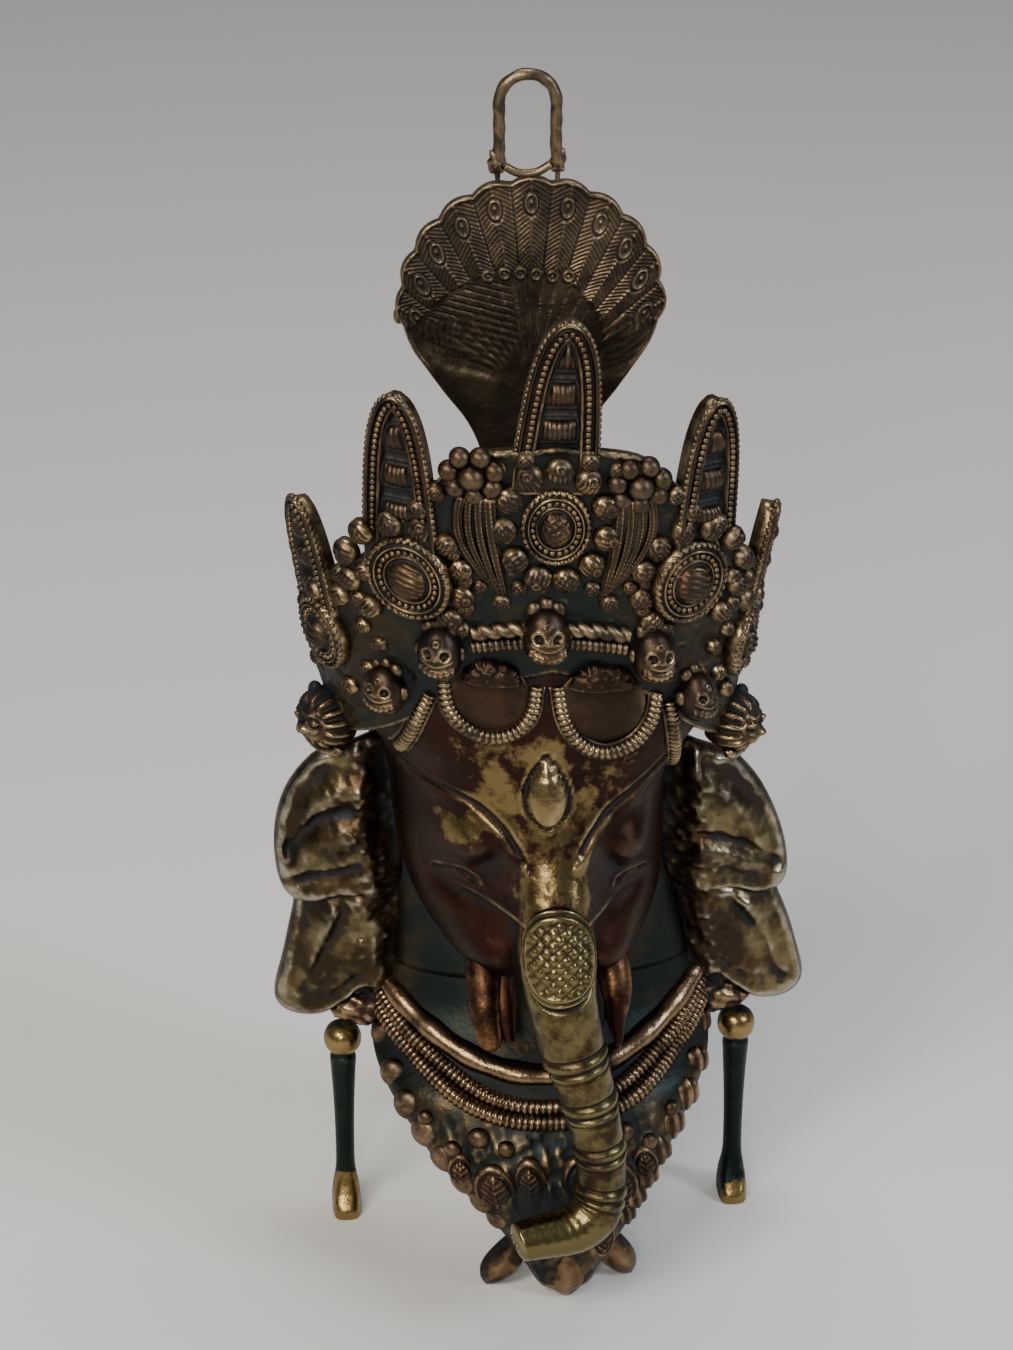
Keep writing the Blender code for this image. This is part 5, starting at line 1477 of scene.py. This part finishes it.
def fan_shape(carving):
    """The plate with its feathers, and the rod of the loop with its lumpy roots."""
    shape = Shape()
    count, rings, step = 456, 93, 4
    angle, reach = fan_outline(count)
    share = np.linspace(0.03, 1.0, rings)[:, None] ** 0.9
    x = FAN_CENTRE[0] + np.cos(angle)[None] * reach[None] * share
    z = FAN_CENTRE[1] + np.sin(angle)[None] * reach[None] * share
    edge = (1 - share) * reach[None]
    rise = carving * fan_relief(x, z, edge) * ease(z, 318.0, 330.0)
    front = np.stack([x, FAN_FRONT + 0.45 - rise + 0 * x, z], -1)
    back = np.stack([x, FAN_FRONT + FAN_THICKNESS + 0 * x, z], -1)[::step, ::step]
    shape.ring_plate(front, back, step, 0.3 + 0.2 * wander(x, z, x, 40.0))
    mid_x, mid_z = FAN_CENTRE
    foot = mid_z + FAN_RADIUS - 8.0
    top = mid_z + FAN_RADIUS + LOOP_HEIGHT - LOOP_ROD_RADIUS
    spring = top - LOOP_HALF_WIDTH - 0.2
    middle = FAN_FRONT + FAN_THICKNESS / 2
    wide = LOOP_HALF_WIDTH
    line = [(-wide - 0.6, foot, 0.3), (-wide - 0.6, foot + 9.0, 0.5), (-wide - 0.6, foot + 13.0, 1.1)]
    line += [(-wide, foot + 19.0, 1.0), (-wide, spring - 6.0, 1.0)]
    for i in range(9):
        turn = math.pi - math.pi * i / 8
        line.append((wide * math.cos(turn), spring + wide * math.sin(turn), 1.0))
    line += [(-a, b, thick) for a, b, thick in reversed(line[:5])]
    rows = smooth_curve([(mid_x + LOOP_OFFSET + a, middle, b, LOOP_ROD_RADIUS * thick) for a, b, thick in line], 10)
    shape.tube(even(rows, 180), 20, lambda s, t: 0.09 * np.sin(s * 0.8) + 0.06 * np.cos(3 * t + s), 0.36)
    for a, size in ((-wide - 0.9, 1.0), (wide + 0.7, 0.9)):
        place = facing((mid_x + LOOP_OFFSET + a, middle - 0.2, foot + 13.6), 0.0)
        shape.ball(place, (3.1 * size, 4.6, 2.0), 16, 22, root_relief, 0.32)
    saddle = ((-8, 12.0), (-3, 9.4), (3, 9.6), (8, 12.4))
    lip = smooth_curve([(mid_x + LOOP_OFFSET + a, middle - 0.9, foot + b, 1.5) for a, b in saddle], 8)
    shape.tube(even(lip, 40), 14, None, 0.36)
    nub = facing((mid_x - FAN_RADIUS + 1.2, middle, mid_z - 3.0), 0.0)
    shape.ball(nub, (1.9, 3.2, 1.7), 12, 16, None, 0.5)
    return shape


def leg_shape(hand):
    """A leg with a dimpled round head, a collar, a slim shank and a flared flat foot."""
    shape = Shape()
    x, y = hand * LEG_PLACE[0], LEG_PLACE[1]
    table = smooth_curve(LEG_PROFILE, 5)
    t = 2 * math.pi * np.arange(48) / 48
    rings = []
    for z, heel, toe, wide in table:
        square = 1.0 - 0.45 * float(ease(z, 22.0, 8.0))
        across = np.sign(np.cos(t)) * np.abs(np.cos(t)) ** square * wide
        ahead = np.sign(np.sin(t)) * np.abs(np.sin(t)) ** square
        rings.append(np.stack([x + across, y + ahead * np.where(ahead > 0, heel, toe), np.full(48, z)], 1))
    rings = np.array(rings)
    rings[:, :, 2] = np.clip(rings[:, :, 2], 0.0, LEG_TOP)
    n = len(rings)
    faces = grid_faces(n, 48, closed=True) + [list(range(48)), list(range((n - 1) * 48, n * 48))[::-1]]
    z = rings[..., 2].reshape(-1)
    worn_foot = 0.95 * ease(z, 19.0, 14.0) * (1.0 if hand < 0 else 0.6)
    gilt = 0.02 + worn_foot + 0.7 * ease(z, LEG_TOP - 12.4, LEG_TOP - 11.0)
    shape.add(rings, faces, gilt)
    return shape


# Weathering and painted shade: how far each place stands proud of what is around it, and how far it sinks among the
# pieces near it


CELL = 0.6
MAP_LOW = (-120.0, -20.0)
MAP_SIZE = (400, 840)
MAP_EDGE = 16


def object_points(obj):
    """The points of an object's mesh, in millimetres."""
    co = np.empty(len(obj.data.vertices) * 3, np.float32)
    obj.data.vertices.foreach_get("co", co)
    return co.reshape(-1, 3).astype(float) / MM


def swelling(obj, points, rounds=8):
    """How far each point stands out of its neighbours' mean, along its normal: ridges +, grooves -."""
    mesh = obj.data
    pairs = np.empty(len(mesh.edges) * 2, np.int32)
    mesh.edges.foreach_get("vertices", pairs)
    pairs = pairs.reshape(-1, 2)
    both = np.concatenate([pairs, pairs[:, ::-1]])
    count = np.maximum(np.bincount(both[:, 0], minlength=len(points)), 1)
    smooth = points.copy()
    for _ in range(rounds):
        mean = [np.bincount(both[:, 0], weights=smooth[both[:, 1], k], minlength=len(points)) for k in range(3)]
        smooth = 0.5 * smooth + 0.5 * np.stack(mean, 1) / count[:, None]
    normal = np.empty(len(points) * 3, np.float32)
    mesh.vertex_normals.foreach_get("vector", normal)
    return np.einsum("ij,ij->i", points - smooth, normal.reshape(-1, 3))


def weather_and_shade(objects):
    """Stores how each point swells out of the skin around it, and how sunk it is among the pieces near it. The
    material turns these into wear on the ridges, and into patina and painted shade in the hollows.
    """
    everything = [object_points(obj) for obj in objects]
    nearest = np.full(MAP_SIZE, 1e3)

    def cells(points):
        i = ((points[:, 0] - MAP_LOW[0]) / CELL).astype(int).clip(MAP_EDGE, MAP_SIZE[0] - 1 - MAP_EDGE)
        k = ((points[:, 2] - MAP_LOW[1]) / CELL).astype(int).clip(MAP_EDGE, MAP_SIZE[1] - 1 - MAP_EDGE)
        return i, k

    for points in everything:
        np.minimum.at(nearest, cells(points), points[:, 1])
    around_each = [(i, k) for i in (-1, 0, 1) for k in (-1, 0, 1)]
    filled = np.minimum.reduce([np.roll(nearest, shift, (0, 1)) for shift in around_each])
    beside = [np.roll(filled, shift, (0, 1)) for shift in around_each]
    total = sum(np.where(row < 500, np.clip(row, filled - 2, filled + 2), 0.0) for row in beside)
    depth = np.where(filled < 500, total / np.maximum(sum(row < 500 for row in beside), 1), 1e3)

    def stand(points, at, reach, limit):
        """The mean of how much nearer the places around are than each point, each up to the limit."""
        total, count = np.zeros(len(points)), np.zeros(len(points))
        for k in range(8):
            turn = 2 * math.pi * k / 8
            for share in (0.5, 1.0):
                i = at[0] + round(reach * share * math.cos(turn + share) / CELL)
                j = at[1] + round(reach * share * math.sin(turn + share) / CELL)
                around = depth[i, j]
                total += np.where(around < 500, np.clip(around - points[:, 1], -limit, limit), 0.0)
                count += around < 500
        return total / np.maximum(count, 1)

    for obj, points in zip(objects, everything):
        at = cells(points)
        ridge = np.clip(swelling(obj, points) / 0.27, -2.2, 2.2)
        # crevice: how sunk each point is among the places 3 mm around it; it darkens the creases as painted shade as
        # well as patina
        crevice = np.clip(stand(points, at, 3.0, 3.0) + 0.5, -3.0, 0.0)
        # deep: how sunk each point is among the pieces 9 mm around it, seen from the front; the material paints
        # shade into the hollows with it
        for name, value in (("proud", ridge + 0.5 * crevice), ("deep", stand(points, at, 9.0, 9.0))):
            store = obj.data.attributes.new(name, "FLOAT", "POINT")
            store.data.foreach_set("value", value.astype(np.float32))


# Materials


def linear(code):
    """An sRGB hex colour as linear values."""
    parts = [int(code[i : i + 2], 16) / 255 for i in (0, 2, 4)]
    return tuple(((v + 0.055) / 1.055) ** 2.4 if v > 0.04045 else v / 12.92 for v in parts) + (1.0,)


def add_node(tree, kind, settings=None, links=None):
    """A node with its settings, as properties or input values, and its input links."""
    node = tree.nodes.new(kind)
    for key, value in (settings or {}).items():
        if isinstance(key, int) or key in node.inputs:
            node.inputs[key].default_value = value
        else:
            setattr(node, key, value)
    for key, source in (links or {}).items():
        tree.links.new(source, node.inputs[key])
    return node


# The patina and the painted shade of its hollows: sizes of its clouds, stains, pits and grains in millimetres, then
# how strong each part is
CLOUD_SIZE, STAIN_SIZE, PIT_SIZE, GRAIN_SIZE = 26.0, 7.0, 3.2, 1.3
RUBBED_FROM = 0.51
EDGE_SHINE = 0.72
# How strongly the hollows take the sunk colour: patina and dirt, with painted shade
HOLLOW_DIRT_AND_SHADE = 0.9
DIRT_DULLS, DIRT_HIDES_METAL = 0.2, 0.45
GRAIN_DULLS = 0.12
SKIN_STRENGTH, SKIN_HEIGHT = 0.55, 0.35
# The last part, sunk, is the colour of the hollows: their patina, darkened as painted shade
COLOUR_PARTS = ("dark", "warm", "gold", "bright", "sunk")


def cast_brass(name, colours, gilding, rough, blend):
    """Lost-wax cast brass under an old patina: a dark skin, rubbed through to olive gold where hands and
    cloths reach, bright on the highest edges, and blue-green patina in the hollows, darkened there with painted
    shade."""
    material = bpy.data.materials.new(name)
    material.use_nodes = True
    tree = material.node_tree
    tree.nodes.clear()
    dark, warm, gold, bright, sunk = ((*colour, 1.0) for colour in colours)
    value, ramp, mix = "ShaderNodeMath", "ShaderNodeMapRange", "ShaderNodeMix"
    noise, stored = "ShaderNodeTexNoise", "ShaderNodeAttribute"
    times, plus, times_plus = ({"operation": kind} for kind in ("MULTIPLY", "ADD", "MULTIPLY_ADD"))
    smooth, coloured = {"interpolation_type": "SMOOTHSTEP"}, {"data_type": "RGBA"}
    fine = {"From Min": 0.0, "From Max": 1.0}
    dull, shiny = (level - GRAIN_DULLS / 2 for level in rough)
    # Each row: what it gives, the node, its settings, what its inputs come from, and its output
    rows = (
        ("place", "ShaderNodeTexCoord", {}, {}, "Object"),
        ("proud", stored, {"attribute_name": "proud"}, {}, "Fac"),
        ("deep", stored, {"attribute_name": "deep"}, {}, "Fac"),
        ("gilt", stored, {"attribute_name": "gilt"}, {}, "Fac"),
        ("cloud", noise, {"Scale": 1000 / CLOUD_SIZE, "Detail": 6.0, "Roughness": 0.62}, {"Vector": "place"}, "Fac"),
        ("stain", noise, {"Scale": 1000 / STAIN_SIZE, "Detail": 5.0, "Roughness": 0.7}, {"Vector": "place"}, "Fac"),
        ("grain", noise, {"Scale": 1000 / GRAIN_SIZE, "Detail": 3.0}, {"Vector": "place"}, "Fac"),
        ("pits", "ShaderNodeTexVoronoi", {"Scale": 1000 / PIT_SIZE}, {"Vector": "place"}, "Distance"),
        # Rubbed through to gold: what hands reach, uneven by two noises, more on what stands proud
        ("patches", value, {**times_plus, 1: 0.9, 2: gilding - 1.2}, {0: "stain"}, 0),
        ("uneven", value, {**times_plus, 1: 1.5}, {0: "cloud", 2: "patches"}, 0),
        ("raised", value, {**times_plus, 1: 0.12}, {0: "proud", 2: "uneven"}, 0),
        ("open", value, {**times_plus, 1: 0.02}, {0: "deep", 2: "raised"}, 0),
        ("polish", value, plus, {0: "gilt", 1: "open"}, 0),
        ("rubbed", ramp, {**smooth, "From Min": RUBBED_FROM - blend, "From Max": RUBBED_FROM + blend},
         {"Value": "polish"}, "Result"),
        ("warmth", ramp, {**smooth, "From Min": 0.42, "From Max": 0.62}, {"Value": "cloud"}, "Result"),
        ("skin", mix, {**coloured, 6: dark, 7: warm}, {"Factor": "warmth"}, 2),
        ("gilded", mix, {**coloured, 7: gold}, {"Factor": "rubbed", 6: "skin"}, 2),
        # Bright on the highest edges, in short runs
        ("ridge", ramp, {**smooth, "From Min": 0.3, "From Max": 1.9}, {"Value": "proud"}, "Result"),
        ("runs", ramp, {**smooth, "From Min": 0.3, "From Max": 0.65}, {"Value": "stain"}, "Result"),
        ("reached", ramp, {**smooth, "From Min": -0.6, "From Max": 0.05}, {"Value": "gilt"}, "Result"),
        ("edge", value, times, {0: "ridge", 1: "runs"}, 0),
        ("worn", value, times, {0: "edge", 1: "reached"}, 0),
        ("shine", value, {**times, 1: EDGE_SHINE}, {0: "worn"}, 0),
        ("lit", mix, {**coloured, 7: bright}, {"Factor": "shine", 6: "gilded"}, 2),
        # Dirt, patina and painted shade in the hollows: darker where the pieces around stand nearer
        ("groove", value, {**times, 1: 0.7}, {0: "proud"}, 0),
        ("recess", value, {**times_plus, 1: 0.2}, {0: "deep", 2: "groove"}, 0),
        ("sinking", value, {**times_plus, 1: 0.6}, {0: "stain", 2: "recess"}, 0),
        ("hollow", ramp, {**smooth, "From Min": 0.1, "From Max": -1.3}, {"Value": "sinking"}, "Result"),
        ("dirt_and_shade", value, {**times, 1: HOLLOW_DIRT_AND_SHADE}, {0: "hollow"}, 0),
        ("coat_and_shade", mix, {**coloured, 7: sunk}, {"Factor": "dirt_and_shade", 6: "lit"}, 2),
        # Smoother where it is rubbed, duller and less metallic in the hollows' dirt and painted shade
        ("polished", ramp, {**fine, "To Min": dull, "To Max": shiny}, {"Value": "rubbed"}, "Result"),
        ("dusty", value, {**times_plus, 1: DIRT_DULLS}, {0: "hollow", 2: "polished"}, 0),
        ("roughness", value, {**times_plus, 1: GRAIN_DULLS}, {0: "grain", 2: "dusty"}, 0),
        ("metal", value, {**times_plus, 1: -DIRT_HIDES_METAL, 2: 1.0}, {0: "hollow"}, 0),
        # The casting's skin, finer than the mesh
        ("pocks", value, {**times, 1: 0.35}, {0: "pits"}, 0),
        ("sand", value, {**times_plus, 1: 0.5}, {0: "grain", 2: "pocks"}, 0),
        ("height", value, {**times_plus, 1: 1.1}, {0: "stain", 2: "sand"}, 0),
        ("normal", "ShaderNodeBump", {"Strength": SKIN_STRENGTH, "Distance": SKIN_HEIGHT * MM},
         {"Height": "height"}, "Normal"),
        ("shader", "ShaderNodeBsdfPrincipled", {},
         {"Base Color": "coat_and_shade", "Roughness": "roughness", "Metallic": "metal", "Normal": "normal"}, "BSDF"),
    )
    made = {}
    for given, kind, settings, sources, output in rows:
        links = {socket: made[source] for socket, source in sources.items()}
        made[given] = add_node(tree, kind, settings, links).outputs[output]
    add_node(tree, "ShaderNodeOutputMaterial", None, {"Surface": made["shader"]})
    return material


PAPER_ROUGHNESS = 0.9


def matt_paper(name, colour):
    """Plain matt paper: it takes soft shadows and gives no shine."""
    material = bpy.data.materials.new(name)
    material.use_nodes = True
    shader = material.node_tree.nodes["Principled BSDF"]
    shader.inputs["Base Color"].default_value = (*colour, 1.0)
    shader.inputs["Roughness"].default_value = PAPER_ROUGHNESS
    return material


# Each casting's brass: its name, its colours (dark skin, warm skin, rubbed gold, bright edges, and the hollows'
# patina darkened with painted shade), how much more it is rubbed than its form says, its roughness where dull
# and where rubbed, and how softly the gold blends into the skin.
BRASS = {
    # The face: nearly black with gold rubbed through on the forehead, in patches with sharp borders
    "face": ("rubbed_brass_cast", ("2E1E19", "3A241D", "746340", "B5A07A", "12110F"), 0.0, (0.42, 0.26), 0.11),
    # The trunk: handled all over, so an even olive gold
    "trunk": ("trunk_brass_cast", ("3A2E22", "463626", "6F6441", "B0A078", "15130F"), 0.0, (0.4, 0.25), 0.2),
    # The tusks: redder, like copper
    "tusk": ("tusk_brass_cast", ("2D1C16", "472E22", "83603F", "BC9468", "100D0C"), 0.0, (0.4, 0.26), 0.2),
    # The crown: brown with bright bosses, and blue-black gaps of patina and painted shade
    "crown": ("crown_brass_cast", ("3B322B", "4B3B2E", "6C5B42", "B09B76", "171F22"), 0.0, (0.42, 0.26), 0.11),
    # The ears: clouds of silvery gold on brown
    "ears": ("ear_brass_cast", ("3A2F24", "4A3928", "766A4A", "B4AD9C", "171C20"), 0.0, (0.38, 0.24), 0.32),
    # The neck and the crown's wall: behind the rest, so green-grey and dull
    "neck": ("neck_brass_cast", ("272D2A", "3B352A", "68583E", "A08A68", "12191B"), 0.12, (0.42, 0.3), 0.3),
    # The collar: brown, bright on its ropes
    "collar": ("collar_brass_cast", ("32271F", "453429", "6C563E", "AA9172", "12191A"), 0.0, (0.42, 0.26), 0.11),
    # The peacock tail: one even dull brown
    "fan": ("tail_brass_cast", ("463C33", "57493C", "6F604C", "9A876A", "2A2826"), 0.12, (0.47, 0.4), 0.11),
    # The legs: green-black, worn to bright gold on the feet and the heads' undersides
    "leg": ("leg_brass_cast", ("1D2725", "28302B", "8E7648", "D6C298", "0C1312"), 0.0, (0.42, 0.26), 0.11),
}
MATERIALS = {}


def materials():
    """The castings' materials, made once, in the colours of the settings."""
    patina = bpy.context.scene.mask_patina
    for kind, (name, _, gilding, rough, blend) in BRASS.items():
        if kind not in MATERIALS:
            colours = [getattr(patina, f"{kind}_{part}") for part in COLOUR_PARTS]
            MATERIALS[kind] = cast_brass(name, colours, gilding + patina.gilding, rough, blend)
    return MATERIALS


# The pieces


PIECES = []


def keep(obj, slot, *nodes):
    """Puts a finished piece on the body, in place of the CAD nodes that it shows. The slot it is given is not used.
    """
    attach(obj, "root")
    if nodes:
        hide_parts(*nodes)
    PIECES.append(obj)


def length(name, description, default):
    """A size that a user may change, in metres."""
    return bpy.props.FloatProperty(name=name, description=description, default=default, min=0.0, unit="LENGTH")


def amount(name, description, default=1.0):
    """A strength that a user may change."""
    return bpy.props.FloatProperty(name=name, description=description, default=default, subtype="FACTOR")


def colour(name, description, code):
    """A colour that a user may change."""
    return bpy.props.FloatVectorProperty(
        name=name, description=description, default=linear(code)[:3], size=3, min=0.0, max=1.0, subtype="COLOR"
    )


class FaceSettings(bpy.types.PropertyGroup):
    """How strongly the face and the ears are carved."""

    lines: amount("Face lines", "Height of the brow lines, the eye slits and the third eye, 1 as made")
    folds: amount("Ear folds", "Height of the folds across the ears, 1 as made")


class CrownSettings(bpy.types.PropertyGroup):
    """Sizes of the crown's rows of beads."""

    leaf_pitch: length("Leaf bead pitch", "From bead to bead along the leaves' borders", 0.0023)
    leaf_radius: length("Leaf bead radius", "Radius of a bead on a leaf's border", 0.00115)
    ring_pitch: length("Ring bead pitch", "From bead to bead around the medallions", 0.0024)
    ring_radius: length("Ring bead radius", "Radius of a bead around a medallion", 0.0011)


class FanSettings(bpy.types.PropertyGroup):
    """The relief of the peacock tail."""

    feathers: amount("Feathers", "Height of the feathers, the dots and the rim, 1 as made")


class PatinaSettings(bpy.types.PropertyGroup):
    """Colours of each casting's skin, gold, bright edges, and hollows' patina darkened with painted shade."""

    __annotations__ = {
        "gilding": amount("Gilding", "How much more of the skin is rubbed to gold, 0 as made", 0.0),
        **{
            f"{kind}_{part}": colour(f"{kind} {part}".capitalize(), f"The {part} colour of the {kind} brass", code)
            for kind, row in BRASS.items()
            for part, code in zip(COLOUR_PARTS, row[1])
        },
    }


class StageSettings(bpy.types.PropertyGroup):
    """Sizes and colours of the floor and the light."""

    floor_size: length("Floor size", "Side of the floor", 16.0)
    floor_colour: colour("Floor colour", "Colour of the paper under the mask", "D9D7D2")
    sky_colour: colour("Surroundings", "Colour of the light from all around", "C9CCD0")
    light: amount("Light", "Strength of the lamps, 1 as made")


SETTINGS = {
    "mask_face": FaceSettings,
    "mask_crown": CrownSettings,
    "mask_fan": FanSettings,
    "mask_patina": PatinaSettings,
    "mask_stage": StageSettings,
}


class FaceOperator(bpy.types.Operator):
    """Makes the face, the trunk with its tusks, and the ears"""

    bl_idname = "mask.face"
    bl_label = "Face, trunk and ears"

    def execute(self, context):
        kinds = materials()
        settings = context.scene.mask_face
        keep(make("face", face_shape(settings.lines), kinds["face"]), "cast_bronze", "mask")
        keep(make("trunk", trunk_shape(), kinds["trunk"]), "cast_bronze")
        keep(make("tusks", tusk_shape(), kinds["tusk"]), "cast_bronze")
        keep(make("ears", ear_shape(settings.folds), kinds["ears"]), "cast_bronze")
        return {"FINISHED"}


class CrownOperator(bpy.types.Operator):
    """Makes the crown's wall, leaves, medallions, bosses and headband"""

    bl_idname = "mask.crown"
    bl_label = "Crown"

    def execute(self, context):
        kind = materials()["crown"]
        settings = context.scene.mask_crown
        leaf_beads = settings.leaf_pitch, settings.leaf_radius
        ring_beads = settings.ring_pitch, settings.ring_radius
        keep(make("crown_wall", crown_wall_shape(), materials()["neck"]), "cast_bronze")
        keep(make("crown_leaves", leaf_shape(), kind), "cast_bronze")
        keep(bead_rows("leaf_beads", leaf_bead_paths(), leaf_beads, kind, -0.25), "cast_bronze")
        keep(make("medallions", medallions_shape(), kind), "cast_bronze")
        keep(bead_rows("medallion_beads", ring_paths(), ring_beads, kind, -0.2), "cast_bronze")
        keep(make("rosettes_and_locks", rosettes_shape(), kind), "cast_bronze")
        keep(make("headband", headband_shape(), kind), "cast_bronze")
        keep(make("brow_pads", pads_shape(), materials()["collar"]), "cast_bronze")
        return {"FINISHED"}


class CollarOperator(bpy.types.Operator):
    """Makes the neck, the collar and the bib"""

    bl_idname = "mask.collar"
    bl_label = "Neck and collar"

    def execute(self, context):
        kind = materials()["collar"]
        keep(make("neck_and_bib", neck_shape(), materials()["neck"]), "cast_bronze")
        keep(make("collar_and_lobes", collar_shape(), kind), "cast_bronze")
        keep(make("leg_lugs", lug_shape(), kind), "cast_bronze")
        return {"FINISHED"}


class FanOperator(bpy.types.Operator):
    """Makes the peacock tail with its loop, and the legs"""

    bl_idname = "mask.fan"
    bl_label = "Peacock tail and legs"

    def execute(self, context):
        kinds = materials()
        tail = fan_shape(context.scene.mask_fan.feathers)
        keep(make("tail_and_loop", tail, kinds["fan"], leaning=False), "brown_bronze", "peacock_fan")
        keep(make("left_leg", leg_shape(-1), kinds["leg"], leaning=False), "dark_bronze", "leg_left")
        keep(make("right_leg", leg_shape(1), kinds["leg"], leaning=False), "dark_bronze", "leg_right")
        return {"FINISHED"}


# The lamps: place and size in metres, power in watts, colour. The mask is lit from the upper left, with a
# weaker cool light from the right
LAMPS = (
    ("key", (-0.9, -1.1, 1.5), (0.7, 0.7), 26, "FFF6EA"),
    ("side", (1.25, -0.7, 1.1), (0.35, 0.8), 15, "E2ECFF"),
    ("front", (-0.35, -1.5, 0.95), (0.3, 0.3), 9, "FFF9F0"),
    ("top", (0.1, 0.3, 1.8), (1.1, 0.5), 12, "FFFFFF"),
)
LAMP_TARGET = (0.0, 0.0, 0.22)
SKY_STRENGTH = 0.32


def soft_lamp(name, place, target, size, power, code):
    """A rectangular lamp that looks at the target."""
    data = bpy.data.lights.new(name, "AREA")
    data.shape = "RECTANGLE"
    data.size, data.size_y = size
    data.energy = power
    data.color = linear(code)[:3]
    lamp = bpy.data.objects.new(name, data)
    lamp.location = place
    lamp.rotation_euler = (Vector(target) - Vector(place)).to_track_quat("-Z", "Y").to_euler()
    bpy.context.scene.collection.objects.link(lamp)


class StageOperator(bpy.types.Operator):
    """Makes the floor, the lamps and the camera"""

    bl_idname = "mask.stage"
    bl_label = "Stage, light and camera"

    def execute(self, context):
        settings = context.scene.mask_stage
        half = settings.floor_size / 2
        mesh = bpy.data.meshes.new("floor")
        corners = [(-half, -half, 0.0), (half, -half, 0.0), (half, half, 0.0), (-half, half, 0.0)]
        mesh.from_pydata(corners, [], [(0, 1, 2, 3)])
        mesh.materials.append(matt_paper("studio_paper", settings.floor_colour))
        floor = bpy.data.objects.new("floor", mesh)
        context.scene.collection.objects.link(floor)
        for name, place, size, power, code in LAMPS:
            soft_lamp(name, place, LAMP_TARGET, size, power * settings.light, code)
        world = bpy.data.worlds.new("studio")
        world.use_nodes = True
        sky = world.node_tree.nodes["Background"]
        sky.inputs["Color"].default_value = (*settings.sky_colour, 1.0)
        sky.inputs["Strength"].default_value = SKY_STRENGTH
        context.scene.world = world
        camera_data = bpy.data.cameras.new("camera")
        camera_data.sensor_fit = "VERTICAL"
        camera_data.sensor_height = 36.0
        camera_data.lens = CAMERA_LENS
        camera = bpy.data.objects.new("camera", camera_data)
        place, target = Vector(CAMERA_PLACE) * MM, Vector(CAMERA_TARGET) * MM
        camera.location = place
        camera.rotation_euler = (target - place).to_track_quat("-Z", "Y").to_euler()
        context.scene.collection.objects.link(camera)
        context.scene.camera = camera
        return {"FINISHED"}


class MaskPanel(bpy.types.Panel):
    """Lists the operators and their settings"""

    bl_idname = "VIEW3D_PT_cast_mask"
    bl_label = "Cast mask"
    bl_space_type = "VIEW_3D"
    bl_region_type = "UI"
    bl_category = "Mask"

    def draw(self, context):
        for operator in OPERATORS:
            self.layout.operator(operator.bl_idname)
        for group, kind in SETTINGS.items():
            for setting in kind.__annotations__:
                self.layout.prop(getattr(context.scene, group), setting)


OPERATORS = (FaceOperator, CrownOperator, CollarOperator, FanOperator, StageOperator)
CLASSES = (*SETTINGS.values(), *OPERATORS, MaskPanel)


def register():
    for kind in CLASSES:
        bpy.utils.register_class(kind)
    for group, kind in SETTINGS.items():
        setattr(bpy.types.Scene, group, bpy.props.PointerProperty(type=kind))


def unregister():
    for group in SETTINGS:
        delattr(bpy.types.Scene, group)
    for kind in reversed(CLASSES):
        bpy.utils.unregister_class(kind)


def main():
    """Builds every piece, then weathers them and maps their painted shade, lights them and writes how large they
    came out.
    """
    register()
    bpy.ops.mask.face()
    bpy.ops.mask.crown()
    bpy.ops.mask.collar()
    bpy.ops.mask.fan()
    for rows in (PIECES[:-3], PIECES[-3:-2], PIECES[-2:-1], PIECES[-1:]):
        weather_and_shade(rows)
    bpy.ops.mask.stage()
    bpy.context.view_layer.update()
    for obj in PIECES:
        print(obj.name, len(obj.data.vertices), "points", len(obj.data.polygons), "faces")


if __name__ == "__main__":
    main()
